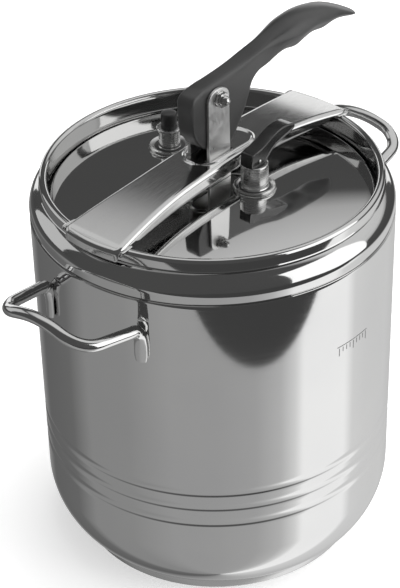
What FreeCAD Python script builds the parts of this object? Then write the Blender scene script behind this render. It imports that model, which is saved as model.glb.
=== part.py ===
import FreeCAD, Part
import math
import os

import Sketcher

# A 22 cm, 9 litre pressure canner with an inner lid.  A cam lever on the lid pulls it up
# against the bridge, which rests across the rolled rim of the pot.
#
# Frame: origin at the centre of the base, +Z up.  +X runs along the bridge, towards the
# lever's grip.  The steam valve is on the -Y side and the safety valve on the +Y side.

Vector = FreeCAD.Vector

SIZES = {
    # pot
    "pot_radius": 110.0,
    "pot_wall": 1.6,
    "base_bottom": 7.2,
    "bottom_bend": 50.0,
    "bottom_bend_top": 45.0,
    "bead_depth": 0.5,
    "band_groove_z": 228.3,
    "shoulder_z": 233.5,
    "shoulder_bend": 13.0,
    "rim_outer": 103.1,
    "rim_inner": 98.3,
    "rim_top": 253.8,
    "neck_bottom": 231.0,
    "neck_wall": 1.4,
    # base
    "cap_radius": 91.3,
    "cap_thickness": 1.2,
    "core_radius": 90.0,
    # loop handles
    "wire_radius": 3.7,
    "loop_half_width": 35.7,
    "loop_reach": 149.6,
    "loop_corner": 17.0,
    "loop_foot_z": 210.6,
    "loop_tilt": 14.0,
    "loop_grip_half": 32.5,
    "foot_width": 8.0,
    "foot_bottom": 187.5,
    "foot_top": 211.5,
    "foot_thickness": 3.2,
    # bridge
    "bridge_top": 265.0,
    "bridge_bend": 543.0,
    "bridge_sheet": 1.8,
    "bridge_reach": 104.7,
    "bridge_end_bend": 106.2,
    "bridge_waist": 16.3,
    "bridge_end": 22.6,
    "bridge_depth": 8.2,
    "bridge_hook_z": 246.8,
    "bridge_fold": 3.0,
    "slot_half": 11.2,
    # lid
    "lid_crown": 247.2,
    "lid_bend": 678.0,
    "lid_radius": 97.4,
    "lid_sheet": 1.5,
    "gasket_radius": 98.0,
    # bracket and pivot
    "bracket_half": 9.8,
    "cheek_gap": 6.4,
    "cheek_sheet": 2.0,
    "bracket_top": 309.2,
    "pivot_x": -2.0,
    "pivot_z": 303.0,
    "pivot_radius": 3.0,
    "bush_radius": 4.2,
    # lever: the cam's radius falls by cam_rate for each radian that the lever is raised
    "cam_radius": 37.7,
    "cam_rate": 11.0,
    "lever_half": 6.1,
    "grip_half": 10.8,
    # steam valve
    "valve_x": 7.0,
    "valve_y": -27.2,
    "valve_radius": 8.3,
    "valve_ring": 12.4,
    "valve_seat_z": 247.15,
    "valve_top": 263.0,
    "valve_pin_z": 265.4,
    "toggle_half": 4.5,
    # safety valve
    "safety_x": 11.8,
    "safety_y": 44.0,
    "safety_radius": 7.1,
    "safety_ring": 12.4,
    "safety_seat_z": 246.55,
    "safety_collar_z": 256.2,
    "safety_top": 260.4,
    "plunger_radius": 5.2,
    "plunger_top": 270.6,
}

RUNNING_GAP = 0.05
SEAT_GAP = 0.05
VALVE_TAIL = 5.0
VALVE_BOSS = 2.85
SAFETY_TAIL = 4.6
SAFETY_BOSS = 3.55
SEAL_DEPTH = 1.0
RIVET_X = (-5.5, 5.5)
RIVET_RADIUS = 2.0
STEM_ROD = 1.9
STEM_SEAT = 4.6
PIN_RADIUS = 1.2
NUT_DEPTH = 4.0
LIP_ROOT = 1.4


class Size:
    """A length with the sheet expression that it comes from."""

    def __init__(self, value, text):
        self.value = value
        self.text = text

    def __add__(self, other):
        other = size(other)
        return Size(self.value + other.value, f"({self.text} + {other.text})")

    def __sub__(self, other):
        other = size(other)
        return Size(self.value - other.value, f"({self.text} - {other.text})")

    def __mul__(self, factor):
        return Size(self.value * factor, f"({self.text} * {factor:.9f})")

    def __neg__(self):
        return Size(-self.value, f"(0 - {self.text})")

    __radd__ = __add__
    __rmul__ = __mul__

    def __rsub__(self, other):
        return size(other) - self


def size(value):
    """Return value as a Size; a plain number is its own expression."""
    if isinstance(value, Size):
        return value
    return Size(float(value), f"({value:.9f})")


def fill_sheet(doc):
    """Put the driving sizes in the sheet and return them by name."""
    sheet = doc.addObject("Spreadsheet::Sheet", "Sizes")
    named = {}
    for row, (alias, value) in enumerate(SIZES.items(), start=1):
        sheet.set(f"A{row}", alias)
        sheet.set(f"B{row}", str(value))
        sheet.setAlias(f"B{row}", alias)
        named[alias] = Size(value, f"Sizes.{alias}")
    doc.recompute()
    return named


DOC = FreeCAD.newDocument("PressureCanner")
S = fill_sheet(DOC)
PARTS = []


# ---------------------------------------------------------------- sketch and feature helpers

def bind(thing, prop, value):
    """Drive a property of a document object from the sheet."""
    thing.setExpression(prop, size(value).text)


def place(thing, x=0, y=0, z=0, turn=0.0):
    """Put an object at x, y, z, turned about +Z."""
    rotation = FreeCAD.Rotation(Vector(0, 0, 1), turn)
    thing.Placement = FreeCAD.Placement(Vector(size(x).value, size(y).value, size(z).value), rotation)
    for axis, value in zip("xyz", (x, y, z)):
        if isinstance(value, Size):
            bind(thing, f"Placement.Base.{axis}", value)


def new_body(label, keep=True):
    """Start a PartDesign body; kept bodies are written as sub-parts."""
    body = DOC.addObject("PartDesign::Body", label)
    body.Label = label
    if keep:
        PARTS.append(body)
    return body


def new_sketch(body, name, plane, lift=0, tilt=0.0):
    """Attach a sketch to one of the body's own planes, lifted and tilted off it."""
    support = next(f for f in body.Origin.OriginFeatures if f.Role == plane)
    sketch = body.newObject("Sketcher::SketchObject", name)
    sketch.AttachmentSupport = [(support, "")]
    sketch.MapMode = "FlatFace"
    rotation = FreeCAD.Rotation(Vector(0, 1, 0), tilt)
    sketch.AttachmentOffset = FreeCAD.Placement(Vector(0, 0, size(lift).value), rotation)
    if isinstance(lift, Size):
        bind(sketch, "AttachmentOffset.Base.z", lift)
    return sketch


def side_curve(start, end, radius):
    """Return a straight or round side, and which of its ends is the start."""
    if not radius:
        return Part.LineSegment(start, end), 1, 2
    chord = end - start
    height = math.sqrt(max(radius ** 2 - (chord.Length / 2) ** 2, 0.0))
    left = Vector(-chord.y, chord.x, 0)
    left.normalize()
    centre = (start + end) * 0.5 + left * math.copysign(height, radius)
    circle = Part.Circle(centre, Vector(0, 0, 1), abs(radius))
    first, last = (start, end) if radius > 0 else (end, start)
    angles = [math.atan2(p.y - centre.y, p.x - centre.x) for p in (first, last)]
    if angles[1] <= angles[0]:
        angles[1] += 2 * math.pi
    arc = Part.ArcOfCircle(circle, *angles)
    return (arc, 1, 2) if radius > 0 else (arc, 2, 1)


def fix_point(sketch, side, end, x, y):
    """Tie one end of a side to its place, through the sheet where it has a size."""
    for kind, axis, value in (("DistanceX", -2, size(x)), ("DistanceY", -1, size(y))):
        if abs(value.value) < 1e-9:
            sketch.addConstraint(Sketcher.Constraint("PointOnObject", side, end, axis))
            continue
        number = sketch.addConstraint(Sketcher.Constraint(kind, -1, 1, side, end, value.value))
        if "Sizes" in value.text:
            sketch.setExpression(f"Constraints[{number}]", value.text)


def outline(sketch, corners, bends=None, closed=True):
    """Draw a profile through corners; bends gives the signed radius of each round side.

    A positive radius turns left on the way from its corner to the next one.
    """
    bends = bends or {}
    points = [Vector(size(x).value, size(y).value, 0) for x, y in corners]
    count = len(points) if closed else len(points) - 1
    ends = []
    for i in range(count):
        radius = size(bends[i]).value if i in bends else 0.0
        curve, first, last = side_curve(points[i], points[(i + 1) % len(points)], radius)
        number = sketch.addGeometry(curve, False)
        ends.append((number, first, last))
        if radius:
            tie = sketch.addConstraint(Sketcher.Constraint("Radius", number, abs(radius)))
            if "Sizes" in size(bends[i]).text:
                text = size(bends[i]).text if radius > 0 else (-size(bends[i])).text
                sketch.setExpression(f"Constraints[{tie}]", text)
    for i, (number, first, last) in enumerate(ends):
        fix_point(sketch, number, first, *corners[i])
        if i + 1 < len(ends) or closed:
            after = ends[(i + 1) % len(ends)]
            sketch.addConstraint(Sketcher.Constraint("Coincident", number, last, after[0], after[1]))
        else:
            fix_point(sketch, number, last, *corners[-1])


def ring(sketch, radius, x=0, y=0):
    """Draw a circle of a bound radius about x, y."""
    radius = size(radius)
    centre = Vector(size(x).value, size(y).value, 0)
    number = sketch.addGeometry(Part.Circle(centre, Vector(0, 0, 1), radius.value), False)
    tie = sketch.addConstraint(Sketcher.Constraint("Radius", number, radius.value))
    if "Sizes" in radius.text:
        sketch.setExpression(f"Constraints[{tie}]", radius.text)
    fix_point(sketch, number, 3, x, y)


def turned(label, corners, bends=None, at=(0, 0)):
    """Make a turned sub-part from its half section, radius first, about a vertical axis."""
    body = new_body(label)
    sketch = new_sketch(body, f"{label}_section", "XZ_Plane")
    outline(sketch, corners, bends)
    turn = body.newObject("PartDesign::Revolution", f"{label}_turn")
    turn.Profile = sketch
    turn.ReferenceAxis = (sketch, ["V_Axis"])
    turn.Angle = 360
    place(body, *at)
    return body


def pad(body, sketch, depth, midplane=True):
    """Pad a sketch by a bound depth."""
    feature = body.newObject("PartDesign::Pad", f"{sketch.Name}_pad")
    feature.Profile = sketch
    feature.Length = size(depth).value
    bind(feature, "Length", depth)
    feature.SideType = "Symmetric" if midplane else "One side"
    return feature


def cut_through(body, sketch, depth=None):
    """Cut a sketch both ways, through all or over a depth, and check that it took something."""
    DOC.recompute()
    before = body.Shape.Volume
    feature = body.newObject("PartDesign::Pocket", f"{sketch.Name}_cut")
    feature.Profile = sketch
    feature.Type = "Length" if depth else "ThroughAll"
    feature.Length = depth or 10
    feature.SideType = "Symmetric"
    DOC.recompute()
    if body.Shape.Volume >= before - 1e-6:
        raise RuntimeError(f"{sketch.Name} cuts nothing")
    return feature


def round_edges(body, radius, wanted):
    """Fillet the edges of the body's last feature that wanted() picks."""
    DOC.recompute()
    base = body.Tip
    names = [f"Edge{i}" for i, edge in enumerate(base.Shape.Edges, start=1) if wanted(edge)]
    feature = body.newObject("PartDesign::Fillet", f"{body.Label}_round{len(body.Group)}")
    feature.Base = (base, names)
    feature.Radius = size(radius).value
    bind(feature, "Radius", radius)
    return feature


def primitive(kind, name, x=0, y=0, z=0, **sizes):
    """Add a Part primitive with bound sizes."""
    thing = DOC.addObject(f"Part::{kind}", name)
    place(thing, x, y, z)
    for prop, value in sizes.items():
        bind(thing, prop, value)
    return thing


def lying(thing, x, y, z):
    """Lay a primitive down so that its own +Z runs along +Y from x, y, z."""
    rotation = FreeCAD.Rotation(Vector(1, 0, 0), -90)
    thing.Placement = FreeCAD.Placement(Vector(0, 0, 0), rotation)
    for axis, value in zip("xyz", (x, y, z)):
        bind(thing, f"Placement.Base.{axis}", value)
    return thing


def joined(label, shapes, keep=True):
    """Fuse or group solids under one label."""
    fuse = DOC.addObject("Part::MultiFuse", label)
    fuse.Shapes = shapes
    fuse.Label = label
    if keep:
        PARTS.append(fuse)
    return fuse


def minus(label, base, tool, keep=True):
    """Cut tool from base under one label."""
    cut = DOC.addObject("Part::Cut", label)
    cut.Base = base
    cut.Tool = tool
    cut.Label = label
    if keep:
        PARTS.append(cut)
    return cut


# ---------------------------------------------------------------- pot

WALL_BEADS = ((92.0, 4.6), (81.0, 4.7), (68.0, 8.0))


def pot_body():
    """Deep drawn pot: round bottom corner, three beads, shoulder and rolled rim."""
    outer = S["pot_radius"]
    inner = S["pot_radius"] - S["pot_wall"]
    bend = S["bottom_bend"]
    bend_x = S["pot_radius"] - S["bottom_bend"]
    bend_z = S["bottom_bend_top"]
    floor_z = S["base_bottom"] + S["pot_wall"]
    # where the bottom bend meets the flat bottom, outside and inside
    outer_run = math.sqrt(bend.value ** 2 - (bend_z.value - S["base_bottom"].value) ** 2)
    inner_run = math.sqrt((bend.value - S["pot_wall"].value) ** 2 - (bend_z.value - floor_z.value) ** 2)
    corners = [(0, S["base_bottom"]), (bend_x + outer_run, S["base_bottom"]), (outer, bend_z)]
    bends = {1: bend}
    for centre, width in sorted(WALL_BEADS):
        depth = S["bead_depth"].value
        bends[len(corners)] = -(width ** 2 / (8 * depth) + depth / 2)
        corners += [(outer, centre - width / 2), (outer, centre + width / 2)]
    groove_z = S["band_groove_z"]
    corners += [(outer, groove_z - 1.7), (outer - 0.8, groove_z), (outer, groove_z + 1.7)]
    # the shoulder ends in a crease five twelfths of the way over
    over = (5 / 13, 12 / 13)
    shoulder_x = S["pot_radius"] - S["shoulder_bend"]
    bends[len(corners)] = S["shoulder_bend"]
    corners += [(outer, S["shoulder_z"])]
    corners += [(shoulder_x + S["shoulder_bend"] * over[0], S["shoulder_z"] + S["shoulder_bend"] * over[1])]
    # rolled rim and the neck inside it
    roll = (S["rim_outer"] - S["rim_inner"]) * 0.502
    corners += [(S["rim_outer"], S["rim_top"] - 6.8), (S["rim_outer"], S["rim_top"] - roll)]
    bends[len(corners) - 1] = roll
    corners += [(S["rim_inner"], S["rim_top"] - roll), (S["rim_inner"], S["neck_bottom"])]
    neck_x = S["rim_inner"] + S["neck_wall"]
    inside_bend = S["shoulder_bend"] - S["pot_wall"]
    corners += [(neck_x, S["neck_bottom"]), (neck_x, S["rim_top"] - 7.6)]
    bends[len(corners)] = -inside_bend
    corners += [(shoulder_x + inside_bend * over[0], S["shoulder_z"] + inside_bend * over[1])]
    corners += [(inner, S["shoulder_z"])]
    bends[len(corners)] = -(bend - S["pot_wall"])
    corners += [(inner, bend_z), (bend_x + inner_run, floor_z), (0, floor_z)]
    turned("pot_body", corners, bends)


def base_core():
    """Aluminium disc that spreads the heat."""
    core = primitive("Cylinder", "base_core", 0, 0, S["cap_thickness"] + SEAT_GAP,
                     Radius=S["core_radius"],
                     Height=S["base_bottom"] - S["cap_thickness"] - SEAT_GAP)
    core.Label = "base_core"
    PARTS.append(core)


def base_cap():
    """Steel cap that seals the disc in."""
    foot = 1.6
    flare = 0.8
    top = S["base_bottom"] - SEAT_GAP
    inner = S["core_radius"] + SEAT_GAP
    corners = [(0, 0), (S["cap_radius"] - foot, 0), (S["cap_radius"], foot),
               (S["cap_radius"] + flare, top), (inner, top), (inner, S["cap_thickness"]),
               (0, S["cap_thickness"])]
    turned("base_cap", corners, {1: foot + 0.1})


def loop_handle(label, turn):
    """Bent wire loop with two flattened feet that are welded to the wall."""
    body = new_body(label)
    # feet: two upright plates cut to the curve of the wall
    feet = new_sketch(body, f"{label}_feet", "YZ_Plane")
    half = S["foot_width"] * 0.5
    corner = 3.0
    for side in (-1, 1):
        middle = S["loop_half_width"] * side
        left, right = middle - half, middle + half
        low, high = S["foot_bottom"], S["foot_top"]
        outline(feet, [(left + corner, low), (right - corner, low), (right, low + corner),
                       (right, high - corner), (right - corner, high), (left + corner, high),
                       (left, high - corner), (left, low + corner)],
                {1: corner, 3: corner, 5: corner, 7: corner})
    pad(body, feet, S["pot_radius"] + 20, midplane=False)
    far = new_sketch(body, f"{label}_far", "XY_Plane")
    ring(far, S["pot_radius"] + S["foot_thickness"])
    ring(far, S["pot_radius"] + 60)
    cut_through(body, far)
    # wire: two legs that draw together, round corners and a straight grip in one tilted plane
    lean = math.radians(S["loop_tilt"].value)
    start = S["pot_radius"] * 0.93
    end = (S["loop_reach"] - start) * (1 / math.cos(lean))
    wide, narrow = S["loop_half_width"], S["loop_grip_half"]
    low = S["loop_foot_z"] - (S["pot_radius"] - start) * math.tan(lean)
    draw = math.atan2((wide - narrow).value, end.value)
    bend = S["loop_corner"]
    run = bend * math.tan((math.pi / 2 - draw) / 2)
    leg_x = end - run * math.cos(draw)
    leg_y = narrow + run * math.sin(draw)
    path = new_sketch(body, f"{label}_path", "XY_Plane", tilt=-S["loop_tilt"].value)
    path.AttachmentOffset = FreeCAD.Placement(
        Vector(start.value, 0, low.value), FreeCAD.Rotation(Vector(0, 1, 0), -S["loop_tilt"].value))
    outline(path, [(0, -wide), (leg_x, -leg_y), (end, run - narrow), (end, narrow - run),
                   (leg_x, leg_y), (0, wide)], {1: bend, 3: bend}, closed=False)
    section = new_sketch(body, f"{label}_section", "YZ_Plane")
    section.AttachmentOffset = FreeCAD.Placement(
        Vector(-wide.value, low.value, start.value),
        FreeCAD.Rotation(Vector(1, 0, 0), -S["loop_tilt"].value))
    ring(section, S["wire_radius"])
    pipe = body.newObject("PartDesign::AdditivePipe", f"{label}_wire")
    pipe.Profile = section
    pipe.Spine = path
    near = new_sketch(body, f"{label}_near", "XY_Plane")
    ring(near, S["pot_radius"] + SEAT_GAP)
    cut_through(body, near)
    place(body, turn=turn)


# ---------------------------------------------------------------- bridge

def arch_z(x, drop=0.0):
    """Height of the bridge's arched top at x."""
    bend = S["bridge_bend"].value - drop
    return S["bridge_top"].value - S["bridge_bend"].value + math.sqrt(bend ** 2 - x ** 2)


def bridge_block(label, inset, fold):
    """Solid arched bar, cut to the waisted plan, smaller all round by inset."""
    body = new_body(label, keep=False)
    reach = S["bridge_reach"] - inset
    bend = S["bridge_bend"] - inset
    low = S["bridge_hook_z"] - inset
    profile = new_sketch(body, f"{label}_profile", "XZ_Plane")
    far = reach + 3.0
    end_z = arch_z(far.value, inset)
    outline(profile, [(-far, low), (far, low), (far, end_z), (-far, end_z)], {2: bend})
    pad(body, profile, 80)
    # plan: narrow waist, wider ends that follow the rim
    plan = new_sketch(body, f"{label}_plan", "XY_Plane")
    waist = S["bridge_waist"] - inset
    broad = S["bridge_end"] - inset
    middle = waist + 1.2
    neck_x = 46
    rim = S["bridge_end_bend"] - inset
    flare = -260
    outline(plan, [(reach, -broad), (reach, broad), (neck_x, middle), (0, waist), (-neck_x, middle),
                   (-reach, broad), (-reach, -broad), (-neck_x, -middle), (0, -waist),
                   (neck_x, -middle)], {0: rim, 1: flare, 4: flare, 5: rim, 6: flare, 9: flare})
    outline(plan, [(-150, -60), (150, -60), (150, 60), (-150, 60)])
    cut_through(body, plan)

    def at_corner(edge):
        upright = abs(edge.BoundBox.ZLength - edge.Length) < 1e-3
        return upright and abs(edge.Vertexes[0].X) > reach.value - 0.1
    round_edges(body, 4.2 - inset, at_corner)

    def on_top(edge):
        middle_point = edge.valueAt((edge.FirstParameter + edge.LastParameter) / 2)
        return abs(middle_point.z - arch_z(middle_point.x, inset)) < 0.05
    round_edges(body, fold, on_top)
    return body


def cut_underside(body):
    """Trim the flanges: deep at mid span, high over the rim, down again at the end hooks."""
    under = new_sketch(body, "bridge_under", "XZ_Plane")
    hook_x = S["bridge_reach"] - S["bridge_sheet"] - 0.4
    over_rim = S["rim_top"] + 0.3
    side_x = 86.0
    side_z = arch_z(side_x) - 5.6
    low = S["bridge_hook_z"] - 10
    outline(under, [(-hook_x, low), (hook_x, low), (hook_x, over_rim), (side_x + 4, over_rim),
                    (side_x, side_z), (0, S["bridge_top"] - S["bridge_depth"]), (-side_x, side_z),
                    (-side_x - 4, over_rim), (-hook_x, over_rim)])
    cut_through(body, under)


def bridge():
    """Pressed channel with end hooks, two cheek slots and a raised lip round them."""
    outer = bridge_block("bridge_outside", 0.0, S["bridge_fold"])
    cut_underside(outer)
    inner = bridge_block("bridge_inside", S["bridge_sheet"].value, S["bridge_fold"] - S["bridge_sheet"])
    channel = minus("bridge_channel", outer, inner, keep=False)
    lip = new_body("bridge_lip", keep=False)
    sketch = new_sketch(lip, "lip_plan", "XY_Plane", lift=S["bridge_top"] - LIP_ROOT)
    left, right = -20, 33
    inner_r, outer_r = 10.3, 12.9
    for radius in (inner_r, outer_r):
        outline(sketch, [(left + outer_r, -radius), (right - outer_r, -radius),
                         (right - outer_r, radius), (left + outer_r, radius)],
                {1: radius * 1.001, 3: radius * 1.001})
    pad(lip, sketch, LIP_ROOT + 1.2, midplane=False)
    round_edges(lip, 1.1, lambda edge: min(v.Z for v in edge.Vertexes) > S["bridge_top"].value + 1)
    whole = joined("bridge_with_lip", [channel, lip], keep=False)
    slots = []
    for name, side in (("near", -1), ("far", 1)):
        middle = S["cheek_gap"] + S["cheek_sheet"] * 0.5
        width = S["cheek_sheet"] + 0.8
        low = S["pivot_x"] - S["slot_half"]
        slots.append(primitive("Box", f"cheek_slot_{name}", low, middle * side - width * 0.5, 240,
                               Length=S["slot_half"] * 2, Width=width, Height=40))
    minus("bridge", whole, joined("cheek_slots", slots, keep=False))


# ---------------------------------------------------------------- lid

def lid_z(x, y=0.0):
    """Height of the lid's top surface."""
    bend = S["lid_bend"].value
    return S["lid_crown"].value - bend + math.sqrt(bend ** 2 - x ** 2 - y ** 2)


def lid_plate():
    """Slightly domed lid with a turned edge, a gasket seat and two flat valve seats."""
    body = new_body("lid_plate")
    section = new_sketch(body, "lid_section", "XZ_Plane")
    sheet = S["lid_sheet"]
    edge_bend = 2.4
    edge_x = S["lid_radius"]
    edge_z = lid_z(edge_x.value - edge_bend)
    seat_x = 91.0
    inside_bend = S["lid_bend"] - sheet
    seat_z = (S["lid_crown"] - S["lid_bend"]).value + math.sqrt(inside_bend.value ** 2 - seat_x ** 2)
    corners = [(0, S["lid_crown"]), (0, S["lid_crown"] - sheet),
               (seat_x, seat_z), (seat_x, seat_z - 7), (seat_x + 1.5, seat_z - 7),
               (seat_x + 1.5, seat_z - 0.2), (edge_x - sheet, seat_z - 0.6),
               (edge_x - sheet, edge_z - 3.6), (edge_x, edge_z - 3.6), (edge_x, edge_z - edge_bend),
               (edge_x - edge_bend, edge_z)]
    outline(section, corners, {1: -inside_bend, 9: edge_bend + 0.05, 10: S["lid_bend"]})
    turn = body.newObject("PartDesign::Revolution", "lid_turn")
    turn.Profile = section
    turn.ReferenceAxis = (section, ["V_Axis"])
    turn.Angle = 360
    for name, x, y, top, depth in (("steam", S["valve_x"], S["valve_y"], S["valve_seat_z"], VALVE_BOSS),
                                   ("safety", S["safety_x"], S["safety_y"], S["safety_seat_z"], SAFETY_BOSS)):
        seat = new_sketch(body, f"{name}_seat", "XY_Plane", lift=top - depth)
        ring(seat, S["valve_ring"] + 0.6, x, y)
        pad(body, seat, depth, midplane=False)
    holes = new_sketch(body, "lid_holes", "XY_Plane")
    ring(holes, VALVE_TAIL + RUNNING_GAP, S["valve_x"], S["valve_y"])
    ring(holes, SAFETY_TAIL + RUNNING_GAP, S["safety_x"], S["safety_y"])
    for x in RIVET_X:
        ring(holes, RIVET_RADIUS + RUNNING_GAP, S["pivot_x"] + x, 0)
    cut_through(body, holes)


def lid_gasket():
    """Rubber sealing ring: a channel that opens downwards, under the lid's edge."""
    top = lid_z(91.0) - S["lid_sheet"].value - 3.4
    inner, lip, web, deep = 92.7, 1.5, 1.9, 6.0
    outer = S["gasket_radius"]
    turned("lid_gasket", [(inner, top), (inner, top - deep), (inner + lip, top - deep),
                          (inner + lip, top - web), (outer - lip, top - web), (outer - lip, top - deep),
                          (outer, top - deep), (outer, top)])


def lever_bracket():
    """Clevis: a web riveted to the lid and two upright cheeks."""
    body = new_body("lever_bracket")
    front = new_sketch(body, "bracket_front", "XZ_Plane")
    half = S["bracket_half"]
    bottom = S["lid_crown"] + SEAT_GAP
    shoulder = S["bracket_top"] - 7
    narrow = half - 0.6
    mid = S["pivot_x"]
    outline(front, [(mid - half, bottom), (mid + half, bottom), (mid + narrow, shoulder),
                    (mid + 2.6, S["bracket_top"]), (mid - 2.6, S["bracket_top"]),
                    (mid - narrow, shoulder)], {2: 8.4, 4: 8.4})
    pad(body, front, (S["cheek_gap"] + S["cheek_sheet"]) * 2)
    gap = new_sketch(body, "bracket_gap", "YZ_Plane")
    low = bottom + S["cheek_sheet"]
    inside = S["cheek_gap"]
    bend = 1.5
    outline(gap, [(bend - inside, low), (inside - bend, low), (inside, low + bend), (inside, 330),
                  (-inside, 330), (-inside, low + bend)], {1: bend, 5: bend})
    cut_through(body, gap)
    pin = new_sketch(body, "bracket_pin", "XZ_Plane")
    ring(pin, S["pivot_radius"] + RUNNING_GAP, S["pivot_x"], S["pivot_z"])
    cut_through(body, pin)
    rivets = new_sketch(body, "bracket_rivet_holes", "XY_Plane")
    for x in RIVET_X:
        ring(rivets, RIVET_RADIUS + RUNNING_GAP, S["pivot_x"] + x, 0)
    cut_through(body, rivets)


def backing_plate():
    """Disc under the lid that spreads the lever's pull."""
    radius = 15.0
    body = new_body("backing_plate")
    sketch = new_sketch(body, "backing_plan", "XY_Plane", lift=S["lid_crown"] - S["lid_sheet"] - 2.2)
    ring(sketch, radius, S["pivot_x"], 0)
    for x in RIVET_X:
        ring(sketch, RIVET_RADIUS + RUNNING_GAP, S["pivot_x"] + x, 0)
    pad(body, sketch, 2.0, midplane=False)


def bracket_rivets():
    """Two rivets through web, lid and backing plate."""
    low = S["lid_crown"] - S["lid_sheet"] - 2.2
    high = S["lid_crown"] + SEAT_GAP + S["cheek_sheet"]
    head_r, head_h = 3.6, 1.8
    pieces = []
    for number, offset in enumerate(RIVET_X):
        x = S["pivot_x"] + offset
        shank = primitive("Cylinder", f"rivet_shank_{number}", x, 0, low - 0.5,
                          Radius=RIVET_RADIUS, Height=high - low + 1)
        top = primitive("Cone", f"rivet_head_{number}", x, 0, high,
                        Radius1=head_r, Radius2=head_r * 0.55, Height=head_h)
        tail = primitive("Cone", f"rivet_tail_{number}", x, 0, low - head_h,
                         Radius1=head_r * 0.55, Radius2=head_r, Height=head_h)
        pieces.append(joined(f"rivet_{number}", [shank, top, tail], keep=False))
    joined("bracket_rivets", pieces)


WASHER = 0.8
WASHER_RADIUS = 5.0
NUT = 3.4
HEX_RADIUS = 4.9
PIN_TIP = 0.6
HEAD = 2.0
HEAD_RADIUS = 4.2


def cheek_face():
    """Distance from the middle to a cheek's outer face."""
    return S["cheek_gap"] + S["cheek_sheet"]


def pivot_bolt():
    """Bolt through the cheeks: low round head on the +Y side, rounded tip on the -Y side."""
    outside = cheek_face() + WASHER
    tip = outside + NUT + PIN_TIP
    shank = lying(primitive("Cylinder", "bolt_shank", Radius=S["pivot_radius"], Height=tip + outside),
                  S["pivot_x"], -tip, S["pivot_z"])
    head = lying(primitive("Cylinder", "bolt_head", Radius=HEAD_RADIUS, Height=HEAD),
                 S["pivot_x"], outside, S["pivot_z"])
    tip_ball = primitive("Sphere", "bolt_tip", S["pivot_x"], -tip, S["pivot_z"], Radius=S["pivot_radius"])
    joined("pivot_bolt", [shank, head, tip_ball])


def washer_ring(name, y):
    """One flat washer against a cheek."""
    disc = lying(primitive("Cylinder", f"{name}_disc", Radius=WASHER_RADIUS, Height=WASHER),
                 S["pivot_x"], y, S["pivot_z"])
    hole = lying(primitive("Cylinder", f"{name}_hole", Radius=S["pivot_radius"] + RUNNING_GAP,
                           Height=WASHER + 2), S["pivot_x"], y - 1, S["pivot_z"])
    return minus(name, disc, hole, keep=False)


def pivot_hardware():
    """Two washers, and the nut on the -Y side."""
    joined("pivot_washers", [washer_ring("washer_far", cheek_face()),
                             washer_ring("washer_near", -cheek_face() - WASHER)])
    start = -cheek_face() - WASHER - NUT
    nut = lying(primitive("Prism", "nut_blank", Circumradius=HEX_RADIUS, Height=NUT),
                S["pivot_x"], start, S["pivot_z"])
    nut.Polygon = 6
    hole = lying(primitive("Cylinder", "nut_hole", Radius=S["pivot_radius"] + RUNNING_GAP,
                           Height=NUT + 2), S["pivot_x"], start - 1, S["pivot_z"])
    minus("pivot_nut", nut, hole)


# ---------------------------------------------------------------- lever

def cam_point(degrees):
    """Point of the cam that is lowest when the lever has been raised by degrees."""
    angle = math.radians(degrees)
    reach = S["cam_radius"] - S["cam_rate"] * angle
    x = S["cam_rate"] * math.cos(angle) - reach * math.sin(angle)
    drop = reach * math.cos(angle) + S["cam_rate"] * math.sin(angle)
    return S["pivot_x"] + x, S["pivot_z"] - drop


def cam_bend(degrees):
    """Radius of the cam's curve near that point."""
    return -(S["cam_radius"] - S["cam_rate"] * math.radians(degrees))


def lever():
    """Closing lever: cam head between the cheeks, arm, and a wider grip."""
    body = new_body("lever")
    shape = new_sketch(body, "lever_outline", "XZ_Plane")
    corners = [cam_point(0), cam_point(30), cam_point(55), cam_point(80), (-22.8, 297), (-22.4, 305.5),
               (-13.5, 311.2), (6, 312.6), (41, 316.6), (63, 323), (82, 324.8), (111, 318),
               (136.6, 303.6), (135.2, 301.6), (112, 308.4), (48, 304.2), (38.6, 303.6),
               (29.2, 294.6), (17.4, 273.2)]
    outline(shape, corners, {0: cam_bend(15), 1: cam_bend(43), 2: cam_bend(68), 5: -9.5, 9: -90,
                             10: -110, 11: -110, 12: -1.4, 16: 14, 18: -14})
    pad(body, shape, S["lever_half"] * 2)
    grip = new_sketch(body, "grip_outline", "XZ_Plane")
    outline(grip, [(56, 319.6), (68, 322.6), (84, 322.8), (106, 318.2), (131, 306.4), (125, 305.6),
                   (110, 308.6), (56, 305.6)], {1: -70, 2: -110, 3: -110})
    pad(body, grip, S["grip_half"] * 2)
    bore = new_sketch(body, "lever_bore", "XZ_Plane")
    ring(bore, S["bush_radius"] + RUNNING_GAP, S["pivot_x"], S["pivot_z"])
    cut_through(body, bore)


def tube(label, x, y, z, inner, outer, length, upright=True):
    """A plain tube, upright or lying along +Y."""
    wall = primitive("Cylinder", f"{label}_wall", x, y, z, Radius=outer, Height=length)
    hole = primitive("Cylinder", f"{label}_hole", x, y, z - 1, Radius=inner, Height=length + 2)
    if not upright:
        lying(wall, x, y, z)
        lying(hole, x, y - 1, z)
    return minus(label, wall, hole)


def lever_bush():
    """Steel bush pressed into the lever's bore."""
    length = S["lever_half"] * 2 + 0.3
    tube("lever_bush", S["pivot_x"], length * -0.5, S["pivot_z"], S["pivot_radius"] + RUNNING_GAP,
         S["bush_radius"], length, upright=False)


# ---------------------------------------------------------------- steam valve

def valve_at():
    return S["valve_x"], S["valve_y"]


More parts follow.
